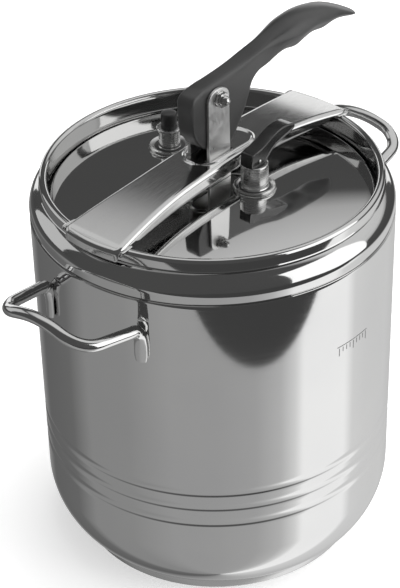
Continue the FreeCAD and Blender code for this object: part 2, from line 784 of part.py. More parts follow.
def valve_body():
    """Turned body: chamber for stem and spring, base ring, and a tail through the lid."""
    seat = S["valve_seat_z"]
    wall = 1.5
    chamber = S["valve_radius"] - wall
    recess = S["valve_top"] - 1.2
    port = 2.6
    tail_end = seat - 9
    ring_top = seat + 1.6
    corners = [(port, tail_end), (VALVE_TAIL, tail_end), (VALVE_TAIL, seat + SEAL_DEPTH),
               (9.5, seat + SEAL_DEPTH), (9.5, seat + SEAT_GAP), (S["valve_ring"], seat + SEAT_GAP),
               (S["valve_ring"], ring_top - 0.6), (S["valve_ring"] - 0.6, ring_top),
               (S["valve_radius"], ring_top), (S["valve_radius"], S["valve_top"]),
               (chamber + 0.6, S["valve_top"]), (chamber + 0.6, recess - 1.4), (chamber, recess - 1.4),
               (chamber, seat + 5), (port, seat + 2.4)]
    turned("valve_body", corners, at=valve_at())


def valve_small_parts():
    """Seal and nut that hold the body in the lid, and the cap over its chamber."""
    x, y = valve_at()
    seat = S["valve_seat_z"]
    tube("valve_seal", x, y, seat + SEAT_GAP, VALVE_TAIL + RUNNING_GAP, 9.4, SEAL_DEPTH - 0.1)
    low = seat - VALVE_BOSS - SEAT_GAP - NUT_DEPTH
    nut = primitive("Prism", "valve_nut_blank", x, y, low, Circumradius=8.6, Height=NUT_DEPTH)
    nut.Polygon = 6
    hole = primitive("Cylinder", "valve_nut_hole", x, y, low - 1,
                     Radius=VALVE_TAIL + RUNNING_GAP, Height=NUT_DEPTH + 2)
    minus("valve_nut", nut, hole)
    cap_r = S["valve_radius"] - 1.5 + 0.6 - RUNNING_GAP
    tube("valve_cap", x, y, S["valve_top"] - 1.2 - 1.3, STEM_ROD + RUNNING_GAP, cap_r, 1.3)


def valve_stem():
    """Stem with a sealing cone below, and an eye for the toggle's pin above."""
    x, y = valve_at()
    seat = S["valve_seat_z"]
    cone_z = seat + 4.1
    cone = primitive("Cone", "stem_cone", x, y, cone_z, Radius1=2.4, Radius2=STEM_SEAT, Height=1.6)
    disc = primitive("Cylinder", "stem_disc", x, y, cone_z + 1.6, Radius=STEM_SEAT, Height=1.2)
    rod = primitive("Cylinder", "stem_rod", x, y, cone_z + 2, Radius=STEM_ROD,
                    Height=S["valve_pin_z"] - cone_z - 3)
    eye_half = 2.05
    eye = lying(primitive("Cylinder", "stem_eye", Radius=2.9, Height=eye_half * 2),
                x, y - eye_half, S["valve_pin_z"])
    blank = joined("stem_blank", [cone, disc, rod, eye], keep=False)
    hole = lying(primitive("Cylinder", "stem_hole", Radius=PIN_RADIUS + 0.02, Height=10),
                 x, y - 5, S["valve_pin_z"])
    minus("valve_stem", blank, hole)


def coil_spring(label, x, y, low, high, radius, wire, turns):
    """Compression spring wound about a vertical axis."""
    body = new_body(label)
    section = new_sketch(body, f"{label}_wire", "XZ_Plane")
    rise = size(high) - low - wire * 2
    ring(section, wire, radius, low + wire)
    coil = body.newObject("PartDesign::AdditiveHelix", f"{label}_coil")
    coil.Profile = section
    coil.ReferenceAxis = (section, ["V_Axis"])
    coil.Mode = "height-turns-angle"
    coil.Height = rise.value
    bind(coil, "Height", rise)
    coil.Turns = turns
    place(body, x, y)


def toggle_pin():
    """Cross pin that the toggle turns on."""
    half = S["toggle_half"] + 0.5
    pin = lying(primitive("Cylinder", "toggle_pin", Radius=PIN_RADIUS, Height=half * 2),
                S["valve_x"], S["valve_y"] - half, S["valve_pin_z"])
    pin.Label = "toggle_pin"
    PARTS.append(pin)


def valve_toggle():
    """Flip toggle: a cam block round the stem's eye and a curved arm along +X."""
    body = new_body("valve_toggle")
    shape = new_sketch(body, "toggle_outline", "XZ_Plane")
    floor = S["valve_top"] - 1.2 + 0.25
    block_end = -7.6
    outline(shape, [(4.5, floor), (6.0, floor + 1.5), (9.5, 266.2), (15.5, 269.8), (31.4, 273.4),
                    (32.6, 275.4), (25.5, 278.6), (16.5, 278.6), (6, 274.2), (-6.4, 271.8),
                    (block_end, 270.6), (block_end, floor + 3.2), (-4.4, floor)],
            {2: -14, 3: 26, 4: 1.6, 5: 14, 6: 12, 7: -24, 9: 1.8, 11: 9})
    pad(body, shape, S["toggle_half"] * 2)
    # slot for the stem, open below and behind so that the toggle can flip up round it
    slot = new_sketch(body, "toggle_slot", "XZ_Plane")
    pin_z = S["valve_pin_z"]
    outline(slot, [(3.6, floor - 2), (3.6, pin_z + 3.4), (-3.6, pin_z + 3.4), (-3.6, pin_z + 0.5),
                   (block_end - 2, pin_z + 0.5), (block_end - 2, floor - 2)])
    cut_through(body, slot, depth=4.4)
    pin = new_sketch(body, "toggle_bore", "XZ_Plane")
    ring(pin, PIN_RADIUS + RUNNING_GAP, 0, S["valve_pin_z"])
    cut_through(body, pin)
    place(body, *valve_at())


# ---------------------------------------------------------------- safety valve

def safety_at():
    return S["safety_x"], S["safety_y"]


def indicator_body():
    """Turned body with a flared collar and a tail through the lid."""
    seat = S["safety_seat_z"]
    bore = S["plunger_radius"] + 0.1
    port = 2.2
    collar = S["safety_radius"] + 0.8
    ring_top = seat + 1.6
    corners = [(port, seat - 9), (SAFETY_TAIL, seat - 9), (SAFETY_TAIL, seat + SEAL_DEPTH),
               (9.5, seat + SEAL_DEPTH), (9.5, seat + SEAT_GAP), (S["safety_ring"], seat + SEAT_GAP),
               (S["safety_ring"], ring_top - 0.6), (S["safety_ring"] - 0.6, ring_top),
               (S["safety_radius"], ring_top), (S["safety_radius"], S["safety_collar_z"]),
               (collar, S["safety_collar_z"]), (collar, S["safety_collar_z"] + 0.9),
               (bore + 0.7, S["safety_top"]), (bore, S["safety_top"]), (bore, seat + 3), (port, seat + 3)]
    turned("indicator_body", corners, {11: 5.2}, at=safety_at())


def indicator_small_parts():
    """Seal and nut of the safety valve."""
    x, y = safety_at()
    seat = S["safety_seat_z"]
    tube("indicator_seal", x, y, seat + SEAT_GAP, SAFETY_TAIL + RUNNING_GAP, 9.4, SEAL_DEPTH - 0.1)
    low = seat - SAFETY_BOSS - SEAT_GAP - NUT_DEPTH
    nut = primitive("Prism", "indicator_nut_blank", x, y, low, Circumradius=8.2, Height=NUT_DEPTH)
    nut.Polygon = 6
    hole = primitive("Cylinder", "indicator_nut_hole", x, y, low - 1,
                     Radius=SAFETY_TAIL + RUNNING_GAP, Height=NUT_DEPTH + 2)
    minus("indicator_nut", nut, hole)


def indicator_plunger():
    """Black plunger with a domed head and a pin down through the port."""
    seat = S["safety_seat_z"]
    low = seat + 8.4
    radius = S["plunger_radius"]
    dome = 3.0
    corners = [(0, seat - 7), (1.5, seat - 7), (1.5, low), (radius, low),
               (radius, S["plunger_top"] - dome), (radius - dome, S["plunger_top"] - 0.4),
               (0, S["plunger_top"])]
    flat = radius.value - dome
    crown = (flat ** 2 + 0.4 ** 2) / (2 * 0.4)
    turned("indicator_plunger", corners, {4: dome + 0.2, 5: crown}, at=safety_at())


# ---------------------------------------------------------------- build, check, export

def make_all():
    pot_body()
    base_core()
    base_cap()
    loop_handle("rear_handle", 0.0)
    loop_handle("front_handle", 180.0)
    bridge()
    lid_plate()
    lid_gasket()
    lever_bracket()
    backing_plate()
    bracket_rivets()
    pivot_bolt()
    pivot_hardware()
    lever()
    lever_bush()
    valve_body()
    valve_small_parts()
    valve_stem()
    coil_spring("valve_spring", *valve_at(), S["valve_seat_z"] + 7, S["valve_top"] - 2.6, 3.6, 0.3, 3)
    toggle_pin()
    valve_toggle()
    indicator_body()
    indicator_small_parts()
    indicator_plunger()
    coil_spring("indicator_spring", *safety_at(), S["safety_seat_z"] + 3.05,
                S["safety_seat_z"] + 8.3, 3.4, 0.4, 4)
    DOC.recompute()


def check_all():
    """Stop if any object failed or any sub-part has no sound solid."""
    for thing in DOC.Objects:
        bad = [state for state in thing.State if state in ("Invalid", "Error")]
        if bad:
            raise RuntimeError(f"{thing.Name}: {bad}")
    for part in PARTS:
        if part.Shape.isNull() or not part.Shape.isValid() or not part.Shape.Solids:
            raise RuntimeError(f"{part.Label} has no sound solid")


def export_all():
    os.makedirs("parts", exist_ok=True)
    for part in PARTS:
        part.Shape.exportStep(f"parts/{part.Label}.step")
        print(f"{part.Label:20s} {part.Shape.Volume / 1000:9.3f} cm3, {len(part.Shape.Solids)} solid(s)")


make_all()
check_all()
export_all()
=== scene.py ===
import math

import bmesh
import bpy
import numpy as np
from mathutils import Matrix, Vector


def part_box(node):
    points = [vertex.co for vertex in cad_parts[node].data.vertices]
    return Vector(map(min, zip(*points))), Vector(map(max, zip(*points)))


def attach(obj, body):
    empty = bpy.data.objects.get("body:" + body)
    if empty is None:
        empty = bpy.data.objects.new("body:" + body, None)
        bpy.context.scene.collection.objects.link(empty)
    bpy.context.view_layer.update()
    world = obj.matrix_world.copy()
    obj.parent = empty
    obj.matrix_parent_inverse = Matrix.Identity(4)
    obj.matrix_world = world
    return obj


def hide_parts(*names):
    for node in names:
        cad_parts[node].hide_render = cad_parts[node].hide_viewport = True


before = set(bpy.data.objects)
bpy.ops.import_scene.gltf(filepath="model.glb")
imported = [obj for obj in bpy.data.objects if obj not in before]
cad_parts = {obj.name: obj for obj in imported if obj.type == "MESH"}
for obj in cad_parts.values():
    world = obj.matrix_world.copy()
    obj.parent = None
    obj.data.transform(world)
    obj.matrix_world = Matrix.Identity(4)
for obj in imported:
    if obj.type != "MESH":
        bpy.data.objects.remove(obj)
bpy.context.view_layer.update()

# The object is a 22 cm pressure canner.  +Z is up and +X runs along the bridge, towards the
# lever's grip.  The steam valve is on the -Y side and the safety valve on the +Y side.
# Lengths are in metres; MM turns millimetres into metres.

MM = 0.001
ON_AXIS = 1e-7                      # a smaller radius is a point on the axis
LATHE_STEPS = 256
VALVE_STEPS = 128
SHARP_EDGE = math.radians(38)


# ---------------------------------------------------------------- sizes read from the frame

def low(node):
    return np.array(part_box(node)[0])


def high(node):
    return np.array(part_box(node)[1])


def middle(node):
    return (low(node) + high(node)) / 2


POT_R = high("pot_body")[1]
POT_BOTTOM = low("pot_body")[2]
POT_WALL = 1.6 * MM
BOTTOM_BEND = 50 * MM
BOTTOM_BEND_Z = 45 * MM
RIM_TOP = high("pot_body")[2]
CAP_TOP = high("base_cap")[2]
CAP_R = high("base_cap")[1]
BRIDGE_LIP = 1.2 * MM               # the lip round the cheek slots stands this high
BRIDGE_TOP = high("bridge")[2] - BRIDGE_LIP
BRIDGE_REACH = high("bridge")[0]
BRIDGE_END = high("bridge")[1]
HOOK_Z = low("bridge")[2]
PIVOT = middle("lever_bush")
LEVER_HALF = 6.1 * MM
GRIP_HALF = high("lever")[1]
CHEEK_INSIDE = 6.4 * MM
CHEEK_SHEET = 2.0 * MM
CHEEK_HALF = 9.8 * MM
SEAT_ABOVE = 9 * MM                 # from the low end of a valve's body to its seat on the lid


# ---------------------------------------------------------------- mesh helpers

def new_object(name, verts, faces, smooth=True, sharp=SHARP_EDGE):
    """Make a mesh object, smooth apart from its sharp edges."""
    mesh = bpy.data.meshes.new(name)
    mesh.from_pydata([tuple(v) for v in verts], [], faces)
    mesh.validate()
    obj = bpy.data.objects.new(name, mesh)
    bpy.context.collection.objects.link(obj)
    if smooth:
        mesh.shade_smooth()
        mesh.set_sharp_from_angle(angle=sharp)
    return obj


def apply_modifiers(obj):
    """Turn the modified shape into the mesh itself."""
    graph = bpy.context.evaluated_depsgraph_get()
    mesh = bpy.data.meshes.new_from_object(obj.evaluated_get(graph))
    obj.modifiers.clear()
    obj.data = mesh


def from_point(x, z, offsets):
    """Points given by their offsets in millimetres from (x, z)."""
    return [(x + dx * MM, z + dz * MM) for dx, dz in offsets]


def arc(centre, radius, start, end, steps):
    """Points round an arc, angles in degrees."""
    turn = np.radians(np.linspace(start, end, steps + 1))
    return [(centre[0] + radius * math.cos(t), centre[1] + radius * math.sin(t)) for t in turn]


def lathe(name, profile, at=(0.0, 0.0), steps=LATHE_STEPS, sharp=SHARP_EDGE):
    """Turn a profile of (radius, z) points about the upright axis through at."""
    verts = []
    rings = []
    for radius, z in profile:
        if radius < ON_AXIS:
            rings.append([len(verts)] * steps)
            verts.append((at[0], at[1], z))
            continue
        rings.append(list(range(len(verts), len(verts) + steps)))
        for k in range(steps):
            turn = 2 * math.pi * k / steps
            verts.append((at[0] + radius * math.cos(turn), at[1] + radius * math.sin(turn), z))
    faces = []
    for first, second in zip(rings, rings[1:]):
        for k in range(steps):
            n = (k + 1) % steps
            face = [first[k], first[n], second[n], second[k]]
            unique = list(dict.fromkeys(face))
            if len(unique) > 2:
                faces.append(unique)
    obj = new_object(name, verts, faces, sharp=sharp)
    fix_normals(obj)
    return obj


def fix_normals(obj):
    """Turn every face of a closed shape outwards."""
    mesh = bmesh.new()
    mesh.from_mesh(obj.data)
    bmesh.ops.recalc_face_normals(mesh, faces=mesh.faces)
    mesh.to_mesh(obj.data)
    mesh.free()


def loft(name, sections, sharp=SHARP_EDGE):
    """Skin closed sections that all have the same number of points, and close both ends."""
    count = len(sections[0])
    verts = [point for section in sections for point in section]
    faces = []
    for i in range(len(sections) - 1):
        for k in range(count):
            n = (k + 1) % count
            faces.append((i * count + k, i * count + n, (i + 1) * count + n, (i + 1) * count + k))
    faces.append(tuple(range(count))[::-1])
    faces.append(tuple((len(sections) - 1) * count + k for k in range(count)))
    obj = new_object(name, verts, faces, sharp=sharp)
    fix_normals(obj)
    return obj


def smoothstep(t):
    """0 up to t = 0, 1 from t = 1 on, and a smooth rise between."""
    t = min(max(t, 0.0), 1.0)
    return t * t * (3 - 2 * t)


def through(points, steps=12):
    """A smooth curve through given points, Catmull-Rom, with steps pieces to a span."""
    points = [np.array(p, float) for p in points]
    ends = [2 * points[0] - points[1]] + points + [2 * points[-1] - points[-2]]
    curve = []
    for a, b, c, d in zip(ends, ends[1:], ends[2:], ends[3:]):
        for k in range(steps):
            t = k / steps
            curve.append(0.5 * (2 * b + (c - a) * t + (2 * a - 5 * b + 4 * c - d) * t ** 2
                                + (3 * b - 3 * c + d - a) * t ** 3))
    curve.append(points[-1])
    return np.array(curve)


def plate(name, outline, y_low, y_high, rounding, recess=None):
    """Upright plate: an (x, z) outline made thick along Y, with rounded edges.

    recess is how far in from the edge, and how deep, both sides are hollowed.
    """
    count = len(outline)
    verts = [(x, y_low, z) for x, z in outline] + [(x, y_high, z) for x, z in outline]
    faces = [tuple(range(count)), tuple(range(count, 2 * count))[::-1]]
    faces += [(k, k + count, (k + 1) % count + count, (k + 1) % count) for k in range(count)]
    obj = new_object(name, verts, faces)
    fix_normals(obj)
    if recess:
        mesh = bmesh.new()
        mesh.from_mesh(obj.data)
        sides = [face for face in mesh.faces if len(face.verts) == count]
        bmesh.ops.inset_individual(mesh, faces=sides, thickness=recess[0], depth=-recess[1])
        mesh.to_mesh(obj.data)
        mesh.free()
    edges = obj.modifiers.new("edges", "BEVEL")
    edges.width = rounding
    edges.segments = 4
    edges.limit_method = "ANGLE"
    edges.angle_limit = math.radians(35)
    edges.harden_normals = True
    apply_modifiers(obj)
    return obj


def put(obj, body, look, slot_name, *nodes):
    """Give a piece its material and body, and hide the CAD nodes it stands for; slot_name is not used."""
    obj.data.materials.clear()
    obj.data.materials.append(look)
    for polygon in obj.data.polygons:
        polygon.material_index = 0
    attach(obj, body)
    if nodes:
        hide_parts(*nodes)
    return obj


# ---------------------------------------------------------------- materials

# nearly all of a noise pattern lies between these two values
PATTERN_LOW, PATTERN_HIGH = 0.3, 0.7


def new_material(name):
    look = bpy.data.materials.new(name)
    look.use_nodes = True
    tree = look.node_tree
    shader = tree.nodes["Principled BSDF"]
    return look, tree, shader


def node(tree, kind, **values):
    """A shader node with its inputs or settings by name."""
    made = tree.nodes.new(kind)
    for key, value in values.items():
        if key in made.inputs:
            made.inputs[key].default_value = value
        else:
            setattr(made, key, value)
    return made


def wired(tree, kind, *sources, **values):
    """A node's first output; its inputs, in order, take a socket or a plain value."""
    made = node(tree, kind, **values)
    for place, source in enumerate(sources):
        if isinstance(source, bpy.types.NodeSocket):
            tree.links.new(source, made.inputs[place])
        else:
            made.inputs[place].default_value = source
    return made.outputs[0]


def noise_at(tree, scale, detail=4.0, stretch=(1, 1, 1), radial=False):
    """Noise in object space; radial noise follows the turning marks round +Z."""
    vector = node(tree, "ShaderNodeTexCoord").outputs["Object"]
    if radial:
        split = node(tree, "ShaderNodeSeparateXYZ")
        tree.links.new(vector, split.inputs[0])
        flat = wired(tree, "ShaderNodeCombineXYZ", split.outputs["X"], split.outputs["Y"])
        length = node(tree, "ShaderNodeVectorMath", operation="LENGTH")
        tree.links.new(flat, length.inputs[0])
        vector = wired(tree, "ShaderNodeCombineXYZ", length.outputs["Value"], 0.0, split.outputs["Z"])
    mapping = node(tree, "ShaderNodeMapping", Scale=stretch)
    tree.links.new(vector, mapping.inputs["Vector"])
    noise = node(tree, "ShaderNodeTexNoise", Scale=scale, Detail=detail)
    tree.links.new(mapping.outputs["Vector"], noise.inputs["Vector"])
    return noise.outputs["Fac"]


def map_range(tree, source, from_low, from_high, to_low=0.0, to_high=1.0):
    """Map one range of values onto another."""
    names = ("From Min", "From Max", "To Min", "To Max")
    ranger = node(tree, "ShaderNodeMapRange", **dict(zip(names, (from_low, from_high, to_low, to_high))))
    tree.links.new(source, ranger.inputs["Value"])
    return ranger.outputs["Result"]


def spread(tree, pattern, low_value, high_value):
    """Map a noise pattern onto a range."""
    return map_range(tree, pattern, PATTERN_LOW, PATTERN_HIGH, low_value, high_value)


def tint(tree, shader, pattern, dark, light):
    """Vary the base colour between two tones by a pattern."""
    ramp = node(tree, "ShaderNodeValToRGB")
    ends = zip(ramp.color_ramp.elements, (PATTERN_LOW, PATTERN_HIGH), (dark, light))
    for element, place, colour in ends:
        element.color = (*colour, 1)
        element.position = place
    tree.links.new(pattern, ramp.inputs["Fac"])
    tree.links.new(ramp.outputs["Color"], shader.inputs["Base Color"])


def relief(tree, shader, pattern, strength, distance):
    """Raise the surface a little by a pattern."""
    bump = node(tree, "ShaderNodeBump", Strength=strength, Distance=distance)
    tree.links.new(pattern, bump.inputs["Height"])
    tree.links.new(bump.outputs["Normal"], shader.inputs["Normal"])


def steel(name, tone, rough, grain=(1, 1, 60), radial=False, marks=0.02):
    """Polished or brushed stainless steel with fine turning marks and soft smears."""
    look, tree, shader = new_material(name)
    shader.inputs["Metallic"].default_value = 1.0
    smear = noise_at(tree, scale=14.0, detail=3.0)
    tint(tree, shader, smear, [tone * 0.965] * 3, [tone * 1.02, tone * 1.02, tone * 1.01])
    fine = noise_at(tree, 60.0, 6.0, grain, radial)
    tree.links.new(spread(tree, fine, rough * 0.75, rough * 1.3), shader.inputs["Roughness"])
    relief(tree, shader, fine, marks, distance=0.02 * MM)
    return look


def moulded(name, tone, rough, coat=0.0, grain=900.0, relief_strength=0.12):
    """Moulded plastic or rubber with a fine texture and slight wear."""
    look, tree, shader = new_material(name)
    shader.inputs["Specular IOR Level"].default_value = 0.5
    shader.inputs["Coat Weight"].default_value = coat
    shader.inputs["Coat Roughness"].default_value = 0.12
    cloud = noise_at(tree, scale=30.0)
    tint(tree, shader, cloud, [tone * 0.8] * 3, [tone * 1.25] * 3)
    skin = noise_at(tree, grain, detail=3.0)
    tree.links.new(spread(tree, cloud, rough * 0.85, rough * 1.15), shader.inputs["Roughness"])
    relief(tree, shader, skin, relief_strength, distance=0.05 * MM)
    return look


WALL_STEEL = steel("wall_steel", 0.64, 0.065, grain=(1, 1, 40), radial=True, marks=0.03)
LID_STEEL = steel("lid_steel", 0.62, 0.045, grain=(30, 1, 30), radial=True, marks=0.01)
BRIDGE_STEEL = steel("bridge_steel", 0.66, 0.13, grain=(2, 30, 2), marks=0.02)
WIRE_STEEL = steel("wire_steel", 0.66, 0.09, grain=(6, 6, 6))
SATIN_STEEL = steel("satin_steel", 0.86, 0.36, grain=(12, 4, 4), marks=0.05)
TURNED_STEEL = steel("turned_steel", 0.7, 0.24, grain=(1, 1, 60), marks=0.03)
BRIGHT_STEEL = steel("bright_steel", 0.66, 0.14, grain=(8, 8, 8))
BASE_STEEL = steel("base_steel", 0.60, 0.22, grain=(60, 1, 20), radial=True, marks=0.05)
SPRING_STEEL = steel("spring_steel", 0.5, 0.25)
ALUMINIUM = steel("core_aluminium", 0.7, 0.35)
LEVER_BLACK = moulded("lever_black", 0.034, 0.34)
TOGGLE_BLACK = moulded("toggle_black", 0.018, 0.2, coat=0.6, grain=500.0, relief_strength=0.05)
PLUNGER_BLACK = moulded("plunger_black", 0.022, 0.4)
RUBBER = moulded("gasket_rubber", 0.03, 0.6, grain=400.0, relief_strength=0.3)
MARK_GREY = moulded("etched_mark", 0.12, 0.5)


# ---------------------------------------------------------------- pot

# height, width and depth of each pressed bead, in millimetres
BEADS = ((92.5, 7.5, 0.5), (81.5, 7.5, 0.5), (69.5, 8.0, 0.55))


def groove(z, centre, width, depth):
    """Depth of one pressed bead at height z."""
    away = abs(z - centre) / (width / 2)
    return depth * math.cos(math.pi / 2 * away) ** 2 if away < 1 else 0.0


def pot_profile():
    """Outside from the bottom up, over the rolled rim, then down the inside."""
    bend_centre = (POT_R - BOTTOM_BEND, BOTTOM_BEND_Z)
    start = -math.degrees(math.asin((BOTTOM_BEND_Z - POT_BOTTOM) / BOTTOM_BEND))
    profile = [(0, POT_BOTTOM)] + arc(bend_centre, BOTTOM_BEND, start, 0, 28)
    for z in np.arange(56, 226.2, 0.6) * MM:
        dent = sum(groove(z, *(size * MM for size in bead)) for bead in BEADS)
        profile.append((POT_R - dent, z))
    # a fine groove, then a band that leans out to the foot of the shoulder
    profile += from_point(POT_R, 0, [(0, 227.2), (-0.2, 227.8), (-1.1, 228.0), (-1.1, 228.6),
                                     (-0.75, 228.9), (-0.12, 233.2)])
    shoulder = 13 * MM
    profile += arc((POT_R - shoulder, 233.5 * MM), shoulder, 2, 67, 22)
    # the neck, and the roll of the rim
    rim_r = 103.1 * MM
    roll = 2.4 * MM
    neck_z = RIM_TOP - 7.2 * MM
    profile += from_point(rim_r, neck_z, [(0.5, -0.2), (0.1, 0.3)])
    profile += arc((rim_r - roll, RIM_TOP - roll), roll, 0, 180, 16)
    # inside: the straight neck, its seat for the lid, the shoulder, the wall and the bottom
    neck_r = 98.3 * MM
    inside = POT_R - POT_WALL
    profile += [(neck_r, z * MM) for z in np.arange(250, 231, -1.5)]
    profile += from_point(neck_r, 0, [(0, 231.3), (0.4, 231), (1.4, 231.2), (1.4, 240),
                                      (3.7, 241), (7.7, 238)])
    profile += [(inside, z * MM) for z in (233, 200, 150, 100, 60)]
    profile += arc(bend_centre, BOTTOM_BEND - POT_WALL, 0, start + 1, 18)
    return profile + [(0, POT_BOTTOM + POT_WALL)]


def make_pot():
    shell = lathe("pot_shell", pot_profile(), sharp=math.radians(30))
    put(shell, "pot", WALL_STEEL, "polished_steel", "pot_body")
    foot = 1.8 * MM
    cap = from_point(0, 0, [(0, 0.4)]) + from_point(CAP_R, 0, [(-8, 0.4), (-7, 0)])
    cap += arc((CAP_R - 0.8 * MM - foot, foot), foot, -90, -10, 10)
    cap += from_point(CAP_R, 0, [(-0.3, 4.4)])
    cap += from_point(CAP_R, CAP_TOP, [(0, -0.5), (-0.15, 0), (-1.6, 0)])
    cap += from_point(CAP_R, 0, [(-1.8, 1.4)]) + [(0, 1.4 * MM)]
    put(lathe("heat_base_cap", cap), "pot", BASE_STEEL, "base_steel", "base_cap")


# ---------------------------------------------------------------- loop handles

def make_handle(name, side, cad_node):
    """Bent wire: flattened feet on the wall, two legs that draw together and an arched grip."""
    wire = 3.7 * MM
    wall = POT_R + 2.0 * MM
    foot_points, tip_points = 10, 3     # how many points of the path lie on a foot, and on its tip
    foot_half = 36.0 * MM
    grip_half = 32.5 * MM
    reach = 149.6 * MM
    leg_z = 210.6 * MM
    grip_z = leg_z + 6.4 * MM
    rise = 7.4 * MM
    bend = 17 * MM
    foot_z = 187.6 * MM
    turn = 7 * MM
    base_x = math.sqrt(wall ** 2 - foot_half ** 2)

    half = [(base_x, foot_half, foot_z)]
    half += [(base_x, foot_half, z * MM) for z in (191, 195, 199)]
    # bend from the foot out into the leg
    for t in np.radians(np.linspace(0, 90, 8)):
        half.append((base_x + turn * (1 - math.cos(t)), foot_half, leg_z - turn + turn * math.sin(t)))
    # leg, round corner and half of the arched grip
    start = np.array([base_x + turn, foot_half])
    corner = np.array([reach, grip_half])
    leg = corner - start
    leg_turn = math.atan2(-leg[1], leg[0])
    run = bend * math.tan((math.pi / 2 - leg_turn) / 2)
    leg_end = corner - leg / np.linalg.norm(leg) * run
    grip_start = corner - np.array([0, run])
    flat = [start + (leg_end - start) * t for t in np.linspace(0.12, 1, 6)]
    centre = grip_start - np.array([bend, 0])
    flat += [centre + bend * np.array([math.cos(t), math.sin(t)])
             for t in np.linspace(math.pi / 2 - leg_turn, 0, 12)[1:]]
    flat += [np.array([reach, y]) for y in np.linspace(grip_start[1], 0, 9)[1:]]
    for x, y in flat:
        out = (x - start[0]) / (reach - start[0])
        lift = rise * (1 - (y / grip_half) ** 2) ** 1.4 if y < grip_half else 0.0
        half.append((x, y, leg_z + (grip_z - leg_z) * out + lift))
    path = half + [(x, -y, z) for x, y, z in half[-2::-1]]
    # the feet are pressed wide and thin, and their tips are rounded off
    radii = []
    for i, (x, y, z) in enumerate(path):
        from_end = min(i, len(path) - 1 - i)
        foot = smoothstep((leg_z - 3 * MM - z) / (9 * MM)) if from_end < foot_points else 0.0
        tip = smoothstep((z - foot_z + 1.2 * MM) / (3.4 * MM)) if from_end < tip_points else 1.0
        radii.append((wire * (1 + 0.12 * foot) * (0.75 + 0.25 * tip), wire * (1 - 0.5 * foot)))
    points = [Vector((side * x, side * y, z)) for x, y, z in path]
    put(loft(name, handle_sections(points, radii)), "pot", WIRE_STEEL, "handle_steel", cad_node)


def handle_sections(points, radii, sides=32):
    """Rings along the wire; the flat side of each foot faces the wall."""
    sections = []
    for i, point in enumerate(points):
        ahead = (points[min(i + 1, len(points) - 1)] - points[max(i - 1, 0)]).normalized()
        outward = Vector((point.x, point.y, 0)).normalized()
        up = Vector((0, 0, 1))
        # normal: away from the wall on a foot, upwards on the legs and the grip
        steep = abs(ahead.z)
        normal = outward * steep + up * (1 - steep)
        normal = (normal - ahead * normal.dot(ahead)).normalized()
        across = ahead.cross(normal)
        wide, tall = radii[i]
        sections.append([tuple(point + across * (wide * math.cos(t)) + normal * (tall * math.sin(t)))
                         for t in np.linspace(0, 2 * math.pi, sides, endpoint=False)])
    return sections


# ---------------------------------------------------------------- bridge

SLOT_IN, SLOT_OUT = 6.0 * MM, 8.8 * MM      # the cheek slots, from the bridge's middle line


def arch(x):
    """Height of the bridge's top along its length."""
    bend = 543 * MM
    return BRIDGE_TOP - bend + math.sqrt(bend ** 2 - x ** 2)


def flange_foot(x):
    """Height of the side flange's lower edge: high over the rim, low again at the end hooks."""
    x = abs(x)
    over_rim = RIM_TOP + 0.35 * MM
    side, step = 86 * MM, 4 * MM
    side_z = arch(side) - 5.6 * MM
    middle_z = BRIDGE_TOP - 8.2 * MM
    if x < side:
        return middle_z + (side_z - middle_z) * x / side
    if x < side + step:
        return side_z + (over_rim - side_z) * smoothstep((x - side) / step)
    hook = BRIDGE_REACH - 3.4 * MM
    return over_rim + (HOOK_Z - over_rim) * smoothstep((x - hook) / (1.2 * MM))


def bridge_outline():
    """Quarter of the plan from the end's middle to the waist: rim arc, round corner, flare."""
    rim = 106.2 * MM
    corner = 4.6 * MM
    centre_y = BRIDGE_END - corner - 0.2 * MM
    reach = BRIDGE_REACH - rim
    quarter = [(reach + rim * math.cos(t), rim * math.sin(t))
               for t in np.linspace(0, math.asin(centre_y / rim), 16)]
    centre = (quarter[-1][0] - corner, centre_y)
    quarter += arc(centre, corner, 8, 98, 12)
    # the waist, a slow flare over most of the length and a quicker one near the end
    waist = 16.3 * MM
    slow_x, quick_x, slow_share = 24 * MM, 46 * MM, 0.35
    start = quarter[-1]
    for x in np.concatenate([np.arange(start[0] / MM - 1, 34, -1.0), np.arange(34, -0.1, -0.7)]) * MM:
        flare = smoothstep((x - slow_x) / (start[0] - slow_x)) * slow_share
        flare += max(0.0, (x - quick_x) / (start[0] - quick_x)) ** 1.7 * (1 - slow_share)
        quarter.append((x, waist + (start[1] - waist) * flare))
    quarter[-1] = (0.0, waist)
    return quarter


def outline_normals(half):
    """Outward normals of the outline, given as its half on the +Y side."""
    count = len(half)
    normals = []
    for i in range(count):
        before = np.array(half[i - 1] if i else (half[1][0], -half[1][1]))
        after = np.array(half[i + 1] if i < count - 1 else (half[-2][0], -half[-2][1]))
        along = after - before
        normals.append(np.array([along[1], -along[0]]) / np.linalg.norm(along))
    if normals[count // 2][1] < 0:
        normals = [-n for n in normals]
    return normals


def flange_and_fold(half):
    """Rows of points from the flange's foot up and round the fold to the edge of the top."""
    fold = 3.0 * MM
    rows = [[(x, y, flange_foot(x) + (arch(x) - fold - flange_foot(x)) * share) for x, y in half]
            for share in (0.0, 0.25, 0.5, 0.75)]
    normals = outline_normals(half)
    for t in np.radians(np.linspace(0, 90, 9)):
        inset = fold * (1 - math.cos(t))
        rows.append([(x - n[0] * inset, y - n[1] * inset, arch(x) - fold * (1 - math.sin(t)))
                     for (x, y), n in zip(half, normals)])
    return rows


def lip_rise(x, y):
    """Height of the raised lip, a rounded ridge that runs round both cheek slots."""
    first, last = -7.1 * MM, 20.1 * MM
    radius, half_width = 11.6 * MM, 1.5 * MM
    away = math.hypot(x - min(max(x, first), last), y)
    t = abs(away - radius) / half_width
    return BRIDGE_LIP * math.cos(math.pi / 2 * t) ** 2 if t < 1 else 0.0


